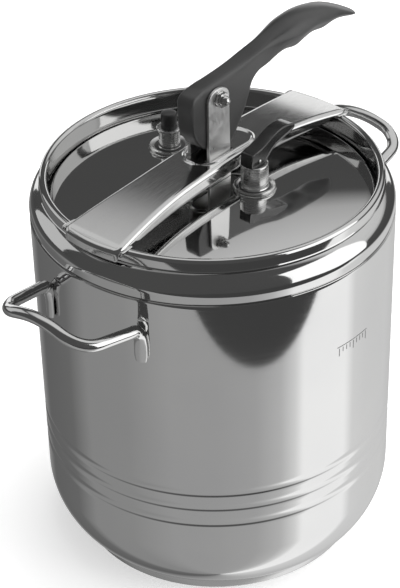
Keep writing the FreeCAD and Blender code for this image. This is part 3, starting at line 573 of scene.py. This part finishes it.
def across_top(edge):
    """One line of points across the top from each point of the fold's edge."""
    full_width = 12.6 * MM
    lines = []
    for x, y, z in edge:
        scale = min(1.0, y / full_width)
        slot_out = SLOT_OUT * scale
        near = [slot_out, 8.1 * MM * scale, 7.4 * MM * scale, 6.7 * MM * scale, SLOT_IN * scale,
                4.5 * MM * scale, 3 * MM * scale, 1.5 * MM * scale, 0.0]
        ys = [slot_out + (y - slot_out) * t for t in (1, 0.9, 0.8, 0.7, 0.6, 0.5, 0.4, 0.3, 0.2, 0.1)] + near
        ys += [-v for v in ys[-2::-1]]
        lines.append([(x, v, z + lip_rise(x, v)) for v in ys])
    return lines


def make_bridge():
    quarter = bridge_outline()
    half = quarter + [(-x, y) for x, y in quarter[-2::-1]]
    rows = flange_and_fold(half)
    verts, faces, index = [], [], {}

    def vertex(point):
        key = tuple(round(c * 1e6) for c in point)
        if key not in index:
            index[key] = len(verts)
            verts.append(point)
        return index[key]

    def quad(*corners):
        face = list(dict.fromkeys(corners))
        if len(face) > 2:
            faces.append(face)

    # folded edge, on both sides
    for mirror in (1, -1):
        grid = [[vertex((x, y * mirror, z)) for x, y, z in row] for row in rows]
        for lower, upper in zip(grid, grid[1:]):
            for i in range(len(half) - 1):
                quad(lower[i], lower[i + 1], upper[i + 1], upper[i])
    # top, open at the cheek slots
    slot_half = 11.2 * MM
    lines = across_top(rows[-1])
    grid = [[vertex(point) for point in line] for line in lines]
    for i in range(len(half) - 1):
        x = (rows[-1][i][0] + rows[-1][i + 1][0]) / 2
        for k in range(len(grid[i]) - 1):
            y = abs(lines[i][k][1] + lines[i][k + 1][1]) / 2
            if abs(x - PIVOT[0]) < slot_half and SLOT_IN < y < SLOT_OUT:
                continue
            quad(grid[i][k], grid[i][k + 1], grid[i + 1][k + 1], grid[i + 1][k])
    bridge = new_object("bridge_bar", verts, faces, sharp=math.radians(50))
    fix_normals(bridge)
    highest = max(bridge.data.polygons, key=lambda p: p.center.z)
    if highest.normal.z < 0:
        bridge.data.flip_normals()
    sheet = bridge.modifiers.new("sheet", "SOLIDIFY")
    sheet.thickness = 1.8 * MM
    sheet.offset = -1
    apply_modifiers(bridge)
    put(bridge, "bridge_bar", BRIDGE_STEEL, "bridge_steel", "bridge")


# ---------------------------------------------------------------- lid

def dome(r):
    """Height of the lid's top at a radius."""
    bend = 678 * MM
    return high("lid_plate")[2] - bend + math.sqrt(bend ** 2 - r ** 2)


def make_lid():
    edge = high("lid_plate")[1]
    foot = low("lid_plate")[2]
    roll = 2.4 * MM
    sheet = 1.5 * MM
    ring = 92 * MM                      # inner edge of the channel that holds the gasket
    profile = [(r * MM, dome(r * MM)) for r in np.arange(0, 94.6, 2.5)]
    profile += [(edge - roll, dome(edge - roll))]
    profile += arc((edge - roll, dome(edge - roll) - roll), roll, 78, 0, 8)
    profile += [(edge, foot + 6 * MM), (edge - sheet, foot + 6 * MM), (edge - sheet, dome(edge) - 2 * MM),
                (ring, dome(ring) - sheet), (ring, foot), (ring - 1 * MM, foot)]
    profile += [(r * MM, dome(r * MM) - sheet) for r in np.arange(91, -0.1, -7)]
    put(lathe("lid_disc", profile), "lid", LID_STEEL, "lid_steel", "lid_plate")
    for name, body in (("steam_seat", "valve_body"), ("safety_seat", "indicator_body")):
        top = low(body)[2] + SEAT_ABOVE
        radius = 13 * MM
        seat = [(0, top - 3.4 * MM)]
        seat += from_point(radius, top, [(-0.4, -3.4), (0, -3.0), (0, -0.5), (-0.15, -0.15), (-0.5, 0)])
        seat += [(0, top)]
        put(lathe(name, seat, middle(body)[:2], VALVE_STEPS), "lid", LID_STEEL, "lid_steel")


# ---------------------------------------------------------------- lever bracket and its pivot

def cheek_outline():
    foot = low("lever_bracket")[2]
    crown = 7 * MM
    shoulder = high("lever_bracket")[2] - crown
    narrow = CHEEK_HALF - 0.6 * MM
    outline = [(-CHEEK_HALF, foot), (CHEEK_HALF, foot), (narrow, shoulder)]
    outline += [(narrow * math.cos(t), shoulder + crown * math.sin(t))
                for t in np.radians(np.linspace(12, 168, 16))]
    outline.append((-narrow, shoulder))
    return [(PIVOT[0] + x, z) for x, z in outline]


def make_bracket():
    outside = CHEEK_INSIDE + CHEEK_SHEET
    near = plate("bracket_cheek_near", cheek_outline(), -outside, -CHEEK_INSIDE, 0.35 * MM)
    put(near, "lid", SATIN_STEEL, "bracket_steel", "lever_bracket")
    far = plate("bracket_cheek_far", cheek_outline(), CHEEK_INSIDE, outside, 0.35 * MM)
    put(far, "lid", SATIN_STEEL, "bracket_steel")
    left, right = PIVOT[0] - CHEEK_HALF, PIVOT[0] + CHEEK_HALF
    foot = low("lever_bracket")[2]
    overlap = 0.5 * MM                  # how far the web runs into each cheek
    top = foot + CHEEK_SHEET
    web = plate("bracket_web", [(left, foot), (right, foot), (right, top), (left, top)],
                -CHEEK_INSIDE - overlap, CHEEK_INSIDE + overlap, 0.2 * MM)
    put(web, "lid", SATIN_STEEL, "bracket_steel")


def lying_lathe(name, profile, centre, y_start, steps=64):
    """Turn a profile about +Y; its own z runs along +Y from y_start."""
    obj = lathe(name, profile, (0, 0), steps)
    turn = Matrix(((1, 0, 0, centre[0]), (0, 0, 1, y_start), (0, -1, 0, centre[2]), (0, 0, 0, 1)))
    obj.data.transform(turn)
    fix_normals(obj)
    return obj


def hexagon_reach(turn, reach):
    """From the middle to the side of a hexagon whose corners are at reach."""
    return reach * math.cos(math.pi / 6) / math.cos((turn % (math.pi / 3)) - math.pi / 6)


def make_pivot():
    face = CHEEK_INSIDE + CHEEK_SHEET
    washer = 0.8 * MM
    washer_r, washer_bore, thin = 5 * MM, 3.05 * MM, 0.15 * MM
    for name, y, nodes in (("washer_near", -face - washer, ["pivot_washers"]), ("washer_far", face, [])):
        ring = [(washer_bore, 0), (washer_r - thin, 0), (washer_r, thin), (washer_r, washer - thin),
                (washer_r - thin, washer), (washer_bore, washer)]
        put(lying_lathe(name, ring, PIVOT, y), "lid", BRIGHT_STEEL, "fastener_steel", *nodes)
    # hexagonal nut: both faces are turned round at the corners
    nut = 3.4
    corner = 4.9 * MM
    steps = 48
    rows = ((0.0, 0.86), (0.35, 0.985), (nut - 0.35, 0.985), (nut, 0.86))
    verts, faces = [], []
    for y, share in rows:
        for k in range(steps):
            t = 2 * math.pi * k / steps
            r = min(hexagon_reach(t, corner), corner * share)
            verts.append((PIVOT[0] + r * math.cos(t), -face - washer - y * MM, PIVOT[2] + r * math.sin(t)))
    for i in range(len(rows) - 1):
        for k in range(steps):
            n = (k + 1) % steps
            faces.append((i * steps + k, i * steps + n, (i + 1) * steps + n, (i + 1) * steps + k))
    faces.append(tuple(range(steps)))
    faces.append(tuple(range((len(rows) - 1) * steps, len(rows) * steps)))
    hexed = new_object("pivot_hex_nut", verts, faces, sharp=math.radians(24))
    fix_normals(hexed)
    put(hexed, "lid", BRIGHT_STEEL, "fastener_steel", "pivot_nut")
    # bolt: a domed tip on the near side and a low head on the far side
    tip = abs(low("pivot_bolt")[1])
    shank, head = 3 * MM, 4.2 * MM
    under_head = tip + face + washer
    bolt = [(0, 0)] + arc((0, shank), shank, -80, 0, 10) + [(shank, under_head)]
    bolt += from_point(head, under_head, [(0, 0), (0, 1.2), (-0.8, 1.9)]) + [(0, under_head + 2.0 * MM)]
    put(lying_lathe("pivot_pin", bolt, PIVOT, -tip), "lid", BRIGHT_STEEL, "fastener_steel", "pivot_bolt")


# ---------------------------------------------------------------- lever

CAM_RADIUS = 37.7 * MM
CAM_RATE = 11.0 * MM                # the cam's radius falls this much for each radian

# The lever seen from the side, as (x, z) in millimetres: its nose and tip, the top edge between
# them, and the lower edge, which runs from the nose to the cam and on from the cam to the tip.
NOSE = (-23.3, 300.5)
TIP = (137.4, 302.8)
TOP_EDGE = ((-22.9, 304.5), (-20.9, 308.6), (-16.8, 310.4), (-12, 311.5), (-2, 312.1), (13, 313.2),
            (28, 315.0), (43, 317.4), (59, 321.8), (70, 324.3), (82, 324.8), (97, 322.6), (111, 318.2),
            (127, 310.3), (135.5, 304.6))
NOSE_EDGE = ((-22.7, 296), (-22.3, 292))
LOWER_EDGE = ((13.6, 268.2), (17.4, 273.2), (22.2, 280.3), (25.6, 286.2), (28.6, 293), (30.6, 298),
              (34, 301.6), (38.6, 303.8), (47.2, 304.6), (56, 306.6), (63, 307.2), (72.6, 305.6),
              (80, 307.4), (87, 308.6), (93, 308.2), (99, 307.4), (107, 308.6), (114, 308.4),
              (125, 306.0), (132, 303.4), (136.4, 301.9))
CAM_ANGLES = (80, 70, 60, 48, 36, 24, 12, 0)


def cam_point(degrees):
    """The point of the cam that rests on the bridge when the lever is turned by an angle."""
    angle = math.radians(degrees)
    reach = CAM_RADIUS - CAM_RATE * angle
    x = CAM_RATE * math.cos(angle) - reach * math.sin(angle)
    return PIVOT[0] + x, PIVOT[2] - reach * math.cos(angle) - CAM_RATE * math.sin(angle)


def edge_height(edge, x):
    """Height of a smooth edge of the side view at x."""
    order = np.argsort(edge[:, 0], kind="stable")
    return np.interp(x, edge[order, 0], edge[order, 1])


def lever_stations(start, stop):
    """Places of the sections along X, closest at both ends, which come out round."""
    t = np.linspace(0, 1, 170)
    stations = start + (stop - start) * (t - 0.13 * np.sin(2 * math.pi * t) / math.pi)
    quarter_turn = np.linspace(0, math.pi / 2, 9)
    first = start + (stations[6] - start) * (1 - np.cos(quarter_turn))
    last = stop - (stop - stations[-7]) * (1 - np.sin(quarter_turn))
    return np.concatenate([first[:-1], stations[6:-7], last])


def lever_section(x, start, up, down, sides=72):
    """Ring between two heights: a rounded rectangle at the head, a crowned grip further on."""
    grip = smoothstep((x / MM - 36) / 34)
    centre, half = (up + down) / 2, max((up - down) / 2, 0.05 * MM)
    head_wide = LEVER_HALF * (0.8 + 0.2 * smoothstep((x - start) / (1.4 * MM)))
    wide = LEVER_HALF + (GRIP_HALF - LEVER_HALF) * smoothstep((x / MM - 30) / 42)
    wide *= smoothstep((137.6 - x / MM) / 16) ** 0.5
    under = wide * 0.62
    ridge = down + (up - down) * 0.46
    squareness = 2 / 9
    ring = []
    for k in range(sides):
        turn = 2 * math.pi * k / sides
        c, s = math.cos(turn), math.sin(turn)
        head_y = math.copysign(abs(c) ** squareness, c) * head_wide
        head_z = centre + math.copysign(abs(s) ** squareness, s) * half
        # the grip is crowned above its ridge and drawn in below it
        if s >= 0:
            grip_y = wide * math.copysign(abs(c) ** 0.82, c)
            grip_z = ridge + (up - ridge) * s ** 0.92
        else:
            fall = abs(s) ** 0.8
            grip_y = math.copysign(1, c) * (under + (wide - under) * (1 - fall)) * abs(c) ** 0.35
            grip_z = ridge - (ridge - down) * fall
        ring.append((x, head_y * (1 - grip) + grip_y * grip, head_z * (1 - grip) + grip_z * grip))
    return ring


def make_lever():
    """Boxy cam head that flows into a crowned grip with finger hollows below."""
    nose, tip = from_point(0, 0, [NOSE, TIP])
    top = through([nose] + from_point(0, 0, TOP_EDGE) + [tip], 8)
    bottom = through([nose] + from_point(0, 0, NOSE_EDGE) + [cam_point(a) for a in CAM_ANGLES]
                     + from_point(0, 0, LOWER_EDGE) + [tip], 8)
    start, stop = nose[0] + 0.02 * MM, tip[0] - 0.1 * MM
    sections = [lever_section(x, start, edge_height(top, x), edge_height(bottom, x))
                for x in lever_stations(start, stop)]
    lever = loft("lever_grip", sections, sharp=math.radians(60))
    put(lever, "closing_lever", LEVER_BLACK, "black_phenolic", "lever")


# ---------------------------------------------------------------- steam valve

def valve_foot(r, seat):
    """Profile of the broad ring that both valves stand on, up to a body of radius r."""
    foot = [(0, seat - 1 * MM)]
    foot += from_point(12.4 * MM, seat, [(-0.5, 0.05), (0, 0.3), (0, 1.3), (-0.3, 1.6), (-0.8, 1.5)])
    return foot + from_point(r, seat, [(1.6, 0.6), (0.5, 0.8), (0, 1.6)])


def make_steam_valve():
    seat = low("valve_body")[2] + SEAT_ABOVE
    top = high("valve_body")[2]
    r = 8.3 * MM
    body = valve_foot(r, seat)
    body += from_point(r, seat, [(0, 3.2), (-0.2, 3.35), (-0.2, 3.6), (0, 3.75)])
    body += from_point(r, top, [(0, -0.7), (-0.25, -0.15), (-0.6, 0), (-1.0, -0.1), (-1.3, -1.2)])
    body += [(0, top - 1.2 * MM)]
    turned = lathe("steam_valve_turned", body, middle("valve_body")[:2], VALVE_STEPS, sharp=math.radians(28))
    put(turned, "lid", TURNED_STEEL, "valve_steel", "valve_body", "valve_cap")


def toggle_outline():
    """Side view: a block over the valve's cap, and a finger that rises and curls at its end."""
    floor = low("valve_toggle")[2] / MM
    heel, back = 2.4, -7.6
    points = [(back, 270.4), (back, floor + heel)]
    points += arc((back + heel, floor + heel), heel, 200, 262, 4)
    points += [(-4.8, floor), (4.5, floor), (5.6, floor + 0.8), (7.2, 264.6), (9.5, 266.6), (12.4, 268.6),
               (15.5, 269.9), (20, 271.0), (25, 272.0), (29.5, 272.9), (31.6, 273.6), (32.6, 275.0),
               (32.0, 276.6), (29.4, 278.0), (25.5, 278.8), (21, 279.0), (16.5, 278.4), (11, 276.6),
               (6, 274.4), (1, 273.0), (-3, 272.4), (-6.2, 271.9), (-7.3, 271.3)]
    return from_point(middle("valve_body")[0], 0, points)


def make_toggle():
    y = middle("valve_toggle")[1]
    half = high("valve_toggle")[1] - y
    toggle = plate("flip_toggle", toggle_outline(), y - half, y + half, 0.5 * MM,
                   recess=(1.3 * MM, 0.45 * MM))
    put(toggle, "toggle", TOGGLE_BLACK, "black_phenolic", "valve_toggle")
    reach = half + 0.45 * MM
    r = 1.25 * MM
    rod = [(0, 0), (r * 0.6, 0.12 * MM), (r * 0.92, 0.4 * MM), (r, 0.8 * MM)]
    rod += [(radius, 2 * reach - z) for radius, z in rod[::-1]]
    pin = lying_lathe("toggle_cross_pin", rod, middle("toggle_pin"), y - reach, 32)
    put(pin, "steam_stem", BRIGHT_STEEL, "fastener_steel", "toggle_pin")


# ---------------------------------------------------------------- safety valve

def make_safety_valve():
    centre = middle("indicator_body")[:2]
    seat = low("indicator_body")[2] + SEAT_ABOVE
    top = high("indicator_body")[2]
    r, collar, bore = 6.6 * MM, 7.75 * MM, 5.0 * MM
    collar_z = top - 1.9 * MM
    body = valve_foot(r, seat) + from_point(r, collar_z, [(0, -0.4), (0.3, 0)])
    body += from_point(collar, collar_z, [(-0.2, 0.1), (0, 0.3)])
    body += from_point(collar, top, [(0, -0.5), (-0.4, -0.1), (-0.8, 0)])
    body += from_point(bore, top, [(0.2, 0), (0, -0.3), (0, -6)]) + [(0, top - 6 * MM)]
    turned = lathe("safety_valve_turned", body, centre, VALVE_STEPS, sharp=math.radians(28))
    put(turned, "lid", TURNED_STEEL, "valve_steel", "indicator_body")
    # plunger: a fine groove near the body, a round shoulder and a nearly flat top
    r = 4.85 * MM
    foot = top - 5.8 * MM
    head = high("indicator_plunger")[2]
    shoulder, crown = 1.3 * MM, 0.35 * MM
    plunger = [(0, foot)] + from_point(r, foot, [(-0.2, 0), (0, 0.3)])
    plunger += from_point(r, top, [(0, 1.6), (-0.12, 1.9), (0, 2.2)])
    plunger += arc((r - shoulder, head - shoulder - crown), shoulder, 0, 76, 10)
    plunger += [((r - shoulder) * t, head - crown * t ** 2) for t in (0.8, 0.5, 0.25, 0)]
    put(lathe("safety_plunger_cap", plunger, centre, 96), "safety_plunger", PLUNGER_BLACK,
        "black_plunger", "indicator_plunger")


# ---------------------------------------------------------------- fill mark

def make_fill_mark():
    """Plain etched fill line over nine ticks, without lettering."""
    radius = POT_R + 0.06 * MM
    centre, half = math.radians(-92), math.radians(7)
    verts, faces = [], []

    def strip(turn_a, turn_b, z_a, z_b):
        steps = max(2, int(abs(turn_b - turn_a) / math.radians(1)))
        base = len(verts)
        for k in range(steps + 1):
            turn = turn_a + (turn_b - turn_a) * k / steps
            verts.extend((radius * math.cos(turn), radius * math.sin(turn), z) for z in (z_a, z_b))
        for k in range(steps):
            faces.append((base + 2 * k, base + 2 * k + 2, base + 2 * k + 3, base + 2 * k + 1))

    strip(centre - half, centre + half, 179.0 * MM, 179.5 * MM)
    tick_top = 178.2 * MM
    long_tick, short_tick, tick_width = 5.5 * MM, 3.2 * MM, math.radians(0.28)
    for k in range(9):
        turn = centre - half * 0.9 + half * 1.8 * k / 8
        strip(turn, turn + tick_width, tick_top - (long_tick if k % 4 == 0 else short_tick), tick_top)
    mark = new_object("etched_fill_mark", verts, faces, smooth=False)
    put(mark, "pot", MARK_GREY, "polished_steel")


# ---------------------------------------------------------------- CAD nodes that stay

KEPT_LOOKS = {
    "base_core": ALUMINIUM,
    "lid_gasket": RUBBER,
    "backing_plate": SATIN_STEEL,
    "bracket_rivets": BRIGHT_STEEL,
    "valve_seal": RUBBER,
    "valve_nut": BRIGHT_STEEL,
    "valve_spring": SPRING_STEEL,
    "valve_stem": TURNED_STEEL,
    "indicator_seal": RUBBER,
    "indicator_nut": BRIGHT_STEEL,
    "indicator_spring": SPRING_STEEL,
    "lever_bush": BRIGHT_STEEL,
}


def dress_kept_nodes():
    """Give the CAD nodes that stay visible, or stay inside, materials of their own."""
    for name, look in KEPT_LOOKS.items():
        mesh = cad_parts[name].data
        if not mesh.materials:
            mesh.materials.append(look)
        for i in range(len(mesh.materials)):
            mesh.materials[i] = look


# ---------------------------------------------------------------- studio

SIGHT = math.radians(-139)          # from the pot to the camera, round +Z
POT_MIDDLE = Vector((0, 0, 0.15))
SKY_GAIN = 1.5
WHITE = (1, 1, 1, 1)
DIM_FRONT = (0.06, 0.06, 0.06, 1)   # the upper half of the room on the camera's side

# Greys of the room that reflections see.  All are multiplied by SKY_GAIN.  Heights and the two
# shares run from 0, straight down or straight behind the pot, to 1.  Turns are in degrees to the
# right of the camera's side.
ROOM_BY_HEIGHT = ((0.0, 0.3), (0.3, 0.3), (0.36, 0.07), (0.5, 0.05), (0.815, 0.06), (0.84, 0.36),
                  (0.88, 0.5), (1.0, 0.54))
FLOOR_BY_TURN = ((-180, 0.3), (-146, 0.10), (-110, 0.13), (-92, 0.23), (-60, 0.24), (-30, 0.30), (0, 0.31),
                 (25, 0.34), (42, 0.44), (52, 0.62), (58, 0.84), (92, 0.84), (100, 0.62), (113, 0.58),
                 (142, 0.51), (180, 0.3))
SOFT_BY_TURN = ((-180, 0.4), (-100, 0.08), (-20, 0.12), (20, 0.6), (60, 1.0), (120, 1.0), (180, 0.45))
FRONT_SHARE = ((0.0, 0.0), (0.44, 0.0), (0.54, 1.0), (1.0, 1.0))
FLOOR_SHARE = ((0.0, 1.0), (0.30, 1.0), (0.34, 0.0), (1.0, 0.0))
CEILING_LEAN = 0.6                  # the pale ceiling comes lower towards the right

# name, turn, distance, half width, bottom, top, radiance
WALL_CARDS = (("bright_panel", 70, 1.4, 0.7, -0.1, 1.7, 1.6),
              ("pale_backdrop", 180, 1.5, 1.1, 0.05, 0.66, 1.15),
              ("left_panel", -112, 1.4, 0.45, 0.2, 1.2, 0.7))
# name, turn, height in degrees, distance, width, height, power
SOFT_LIGHTS = (("right_softbox", 72, 18, 1.6, 1.3, 1.9, 10),
               ("top_softbox", 150, 70, 1.6, 1.2, 1.2, 9),
               ("left_fill", -70, 35, 1.8, 0.9, 0.9, 4))


def level_direction(turn_right):
    """Level unit vector at degrees to the right of the camera's side of the pot."""
    turn = SIGHT + math.radians(turn_right)
    return Vector((math.cos(turn), math.sin(turn), 0))


def add_soft_light(name, turn_right, lift, distance, width, height, power):
    """Area light aimed at the pot that neither the camera nor reflections see."""
    light = bpy.data.lights.new(name, "AREA")
    light.shape = "RECTANGLE"
    light.size = width
    light.size_y = height
    light.energy = power
    obj = bpy.data.objects.new(name, light)
    rise = math.radians(lift)
    toward = level_direction(turn_right) * math.cos(rise) + Vector((0, 0, math.sin(rise)))
    obj.location = POT_MIDDLE + toward * distance
    obj.rotation_euler = (-toward).to_track_quat("-Z", "Y").to_euler()
    obj.visible_glossy = False
    obj.visible_camera = False
    bpy.context.collection.objects.link(obj)


def glow(name, strength):
    look = bpy.data.materials.new(name)
    look.use_nodes = True
    tree = look.node_tree
    tree.nodes.clear()
    shine = wired(tree, "ShaderNodeEmission", WHITE, strength)
    tree.links.new(shine, node(tree, "ShaderNodeOutputMaterial").inputs[0])
    return look


def make_floor():
    size = 6.0
    floor = new_object("floor", [(-size, -size, 0), (size, -size, 0), (size, size, 0), (-size, size, 0)],
                       [(0, 1, 2, 3)], smooth=False)
    look, tree, shader = new_material("pale_floor")
    shader.inputs["Roughness"].default_value = 0.9
    shader.inputs["Specular IOR Level"].default_value = 0.1
    shader.inputs["Emission Color"].default_value = WHITE
    shader.inputs["Emission Strength"].default_value = 0.45
    tint(tree, shader, noise_at(tree, scale=3.0, detail=3.0), [0.9] * 3, [0.93] * 3)
    floor.data.materials.append(look)
    floor.visible_glossy = False


def grey_ramp(tree, source, stops):
    """Grey by place, from 0 to 1."""
    ramp = node(tree, "ShaderNodeValToRGB")
    tree.links.new(source, ramp.inputs["Fac"])
    elements = ramp.color_ramp.elements
    while len(elements) < len(stops):
        elements.new(0.5)
    for element, (place, value) in zip(elements, stops):
        element.position = place
        element.color = (value, value, value, 1)
    return ramp.outputs["Color"]


def azimuth_ramp(tree, sky, stops):
    """Grey by turn to the camera's right, measured round the pot."""
    angle = wired(tree, "ShaderNodeMath", sky["Y"], sky["X"], operation="ARCTAN2")
    places = [((turn + 180) / 360, value) for turn, value in stops]
    return grey_ramp(tree, map_range(tree, angle, -math.pi, math.pi), places)


def sky_direction(tree):
    """Parts of a direction: X to the camera's side, Y to the camera's right, Z up."""
    coords = node(tree, "ShaderNodeTexCoord")
    turned = node(tree, "ShaderNodeVectorRotate", rotation_type="Z_AXIS", Angle=-SIGHT)
    tree.links.new(coords.outputs["Generated"], turned.inputs["Vector"])
    split = node(tree, "ShaderNodeSeparateXYZ")
    tree.links.new(turned.outputs[0], split.inputs[0])
    return split.outputs


def make_world():
    """White for the camera; reflections see a pale floor, a dim room and a pale ceiling."""
    world = bpy.data.worlds.new("studio")
    bpy.context.scene.world = world
    world.use_nodes = True
    tree = world.node_tree
    tree.nodes.clear()
    sky = sky_direction(tree)
    rightward = wired(tree, "ShaderNodeMath", sky["Y"], 0.0, operation="MAXIMUM")
    height = wired(tree, "ShaderNodeMath", rightward, CEILING_LEAN, sky["Z"], operation="MULTIPLY_ADD")
    behind = grey_ramp(tree, map_range(tree, height, -1, 1), ROOM_BY_HEIGHT)
    in_front = grey_ramp(tree, map_range(tree, sky["X"], -1, 1), FRONT_SHARE)
    above = wired(tree, "ShaderNodeMixRGB", in_front, behind, DIM_FRONT)
    on_floor = grey_ramp(tree, map_range(tree, sky["Z"], -1, 1), FLOOR_SHARE)
    room = wired(tree, "ShaderNodeMixRGB", on_floor, above, azimuth_ramp(tree, sky, FLOOR_BY_TURN))
    mirrored = wired(tree, "ShaderNodeBackground", room, SKY_GAIN)
    soft = wired(tree, "ShaderNodeBackground", azimuth_ramp(tree, sky, SOFT_BY_TURN), SKY_GAIN)
    white = wired(tree, "ShaderNodeBackground", WHITE)
    paths = node(tree, "ShaderNodeLightPath").outputs
    shade = wired(tree, "ShaderNodeMixShader", paths["Is Glossy Ray"], soft, mirrored)
    shade = wired(tree, "ShaderNodeMixShader", paths["Is Camera Ray"], shade, white)
    tree.links.new(shade, node(tree, "ShaderNodeOutputWorld").inputs[0])


def add_card(name, corners, strength):
    """Glowing card that only reflections see."""
    card = new_object(name, corners, [(0, 1, 2, 3)], smooth=False)
    card.data.materials.append(glow(f"{name}_glow", strength))
    card.visible_camera = False
    card.visible_diffuse = False
    card.visible_shadow = False


def make_cards():
    """The dark room beyond the table's edge, and pale panels on the walls."""
    out = level_direction(25)
    side = Vector((-out.y, out.x, 0))
    near, far, half = 0.352, 1.6, 0.75
    above_floor = Vector((0, 0, 0.003))
    corners = [out * near - side * half, out * near + side * half,
               out * far + side * half, out * far - side * half]
    add_card("table_edge", [corner + above_floor for corner in corners], 0.07)
    for name, turn_right, distance, half, bottom, top, radiance in WALL_CARDS:
        out = level_direction(turn_right)
        side = Vector((-out.y, out.x, 0))
        corners = [out * distance + side * s + Vector((0, 0, z))
                   for s, z in ((-half, bottom), (half, bottom), (half, top), (-half, top))]
        add_card(name, corners, radiance)


def make_lights():
    for light in SOFT_LIGHTS:
        add_soft_light(*light)


def make_camera():
    """Long lens, 34 degrees above level, that looks along the front left side of the pot."""
    data = bpy.data.cameras.new("view")
    data.sensor_fit = "VERTICAL"
    data.sensor_height = 36.0
    data.lens = 117.12245
    camera = bpy.data.objects.new("view", data)
    camera.location = (-0.7418, -0.6448, 0.8310)
    turn, lift, pan, roll = (math.radians(a) for a in (-49, -34.24, -0.431, -1.206))
    forward = Vector((0, math.cos(lift), math.sin(lift)))
    right = Vector((1, 0, 0))
    up = right.cross(forward)
    forward, right = (forward * math.cos(pan) + right * math.sin(pan),
                      right * math.cos(pan) - forward * math.sin(pan))
    right, up = right * math.cos(roll) + up * math.sin(roll), up * math.cos(roll) - right * math.sin(roll)
    spin = Matrix.Rotation(turn, 3, "Z")
    axes = [spin @ v for v in (right, up, -forward)]
    camera.rotation_euler = Matrix(axes).transposed().to_euler()
    bpy.context.collection.objects.link(camera)
    bpy.context.scene.camera = camera


make_pot()
make_handle("handle_wire_rear", 1, "rear_handle")
make_handle("handle_wire_front", -1, "front_handle")
make_bridge()
make_lid()
make_bracket()
make_pivot()
make_lever()
make_steam_valve()
make_toggle()
make_safety_valve()
make_fill_mark()
dress_kept_nodes()
make_floor()
make_world()
make_cards()
make_lights()
make_camera()
bpy.context.scene.view_settings.view_transform = "Standard"
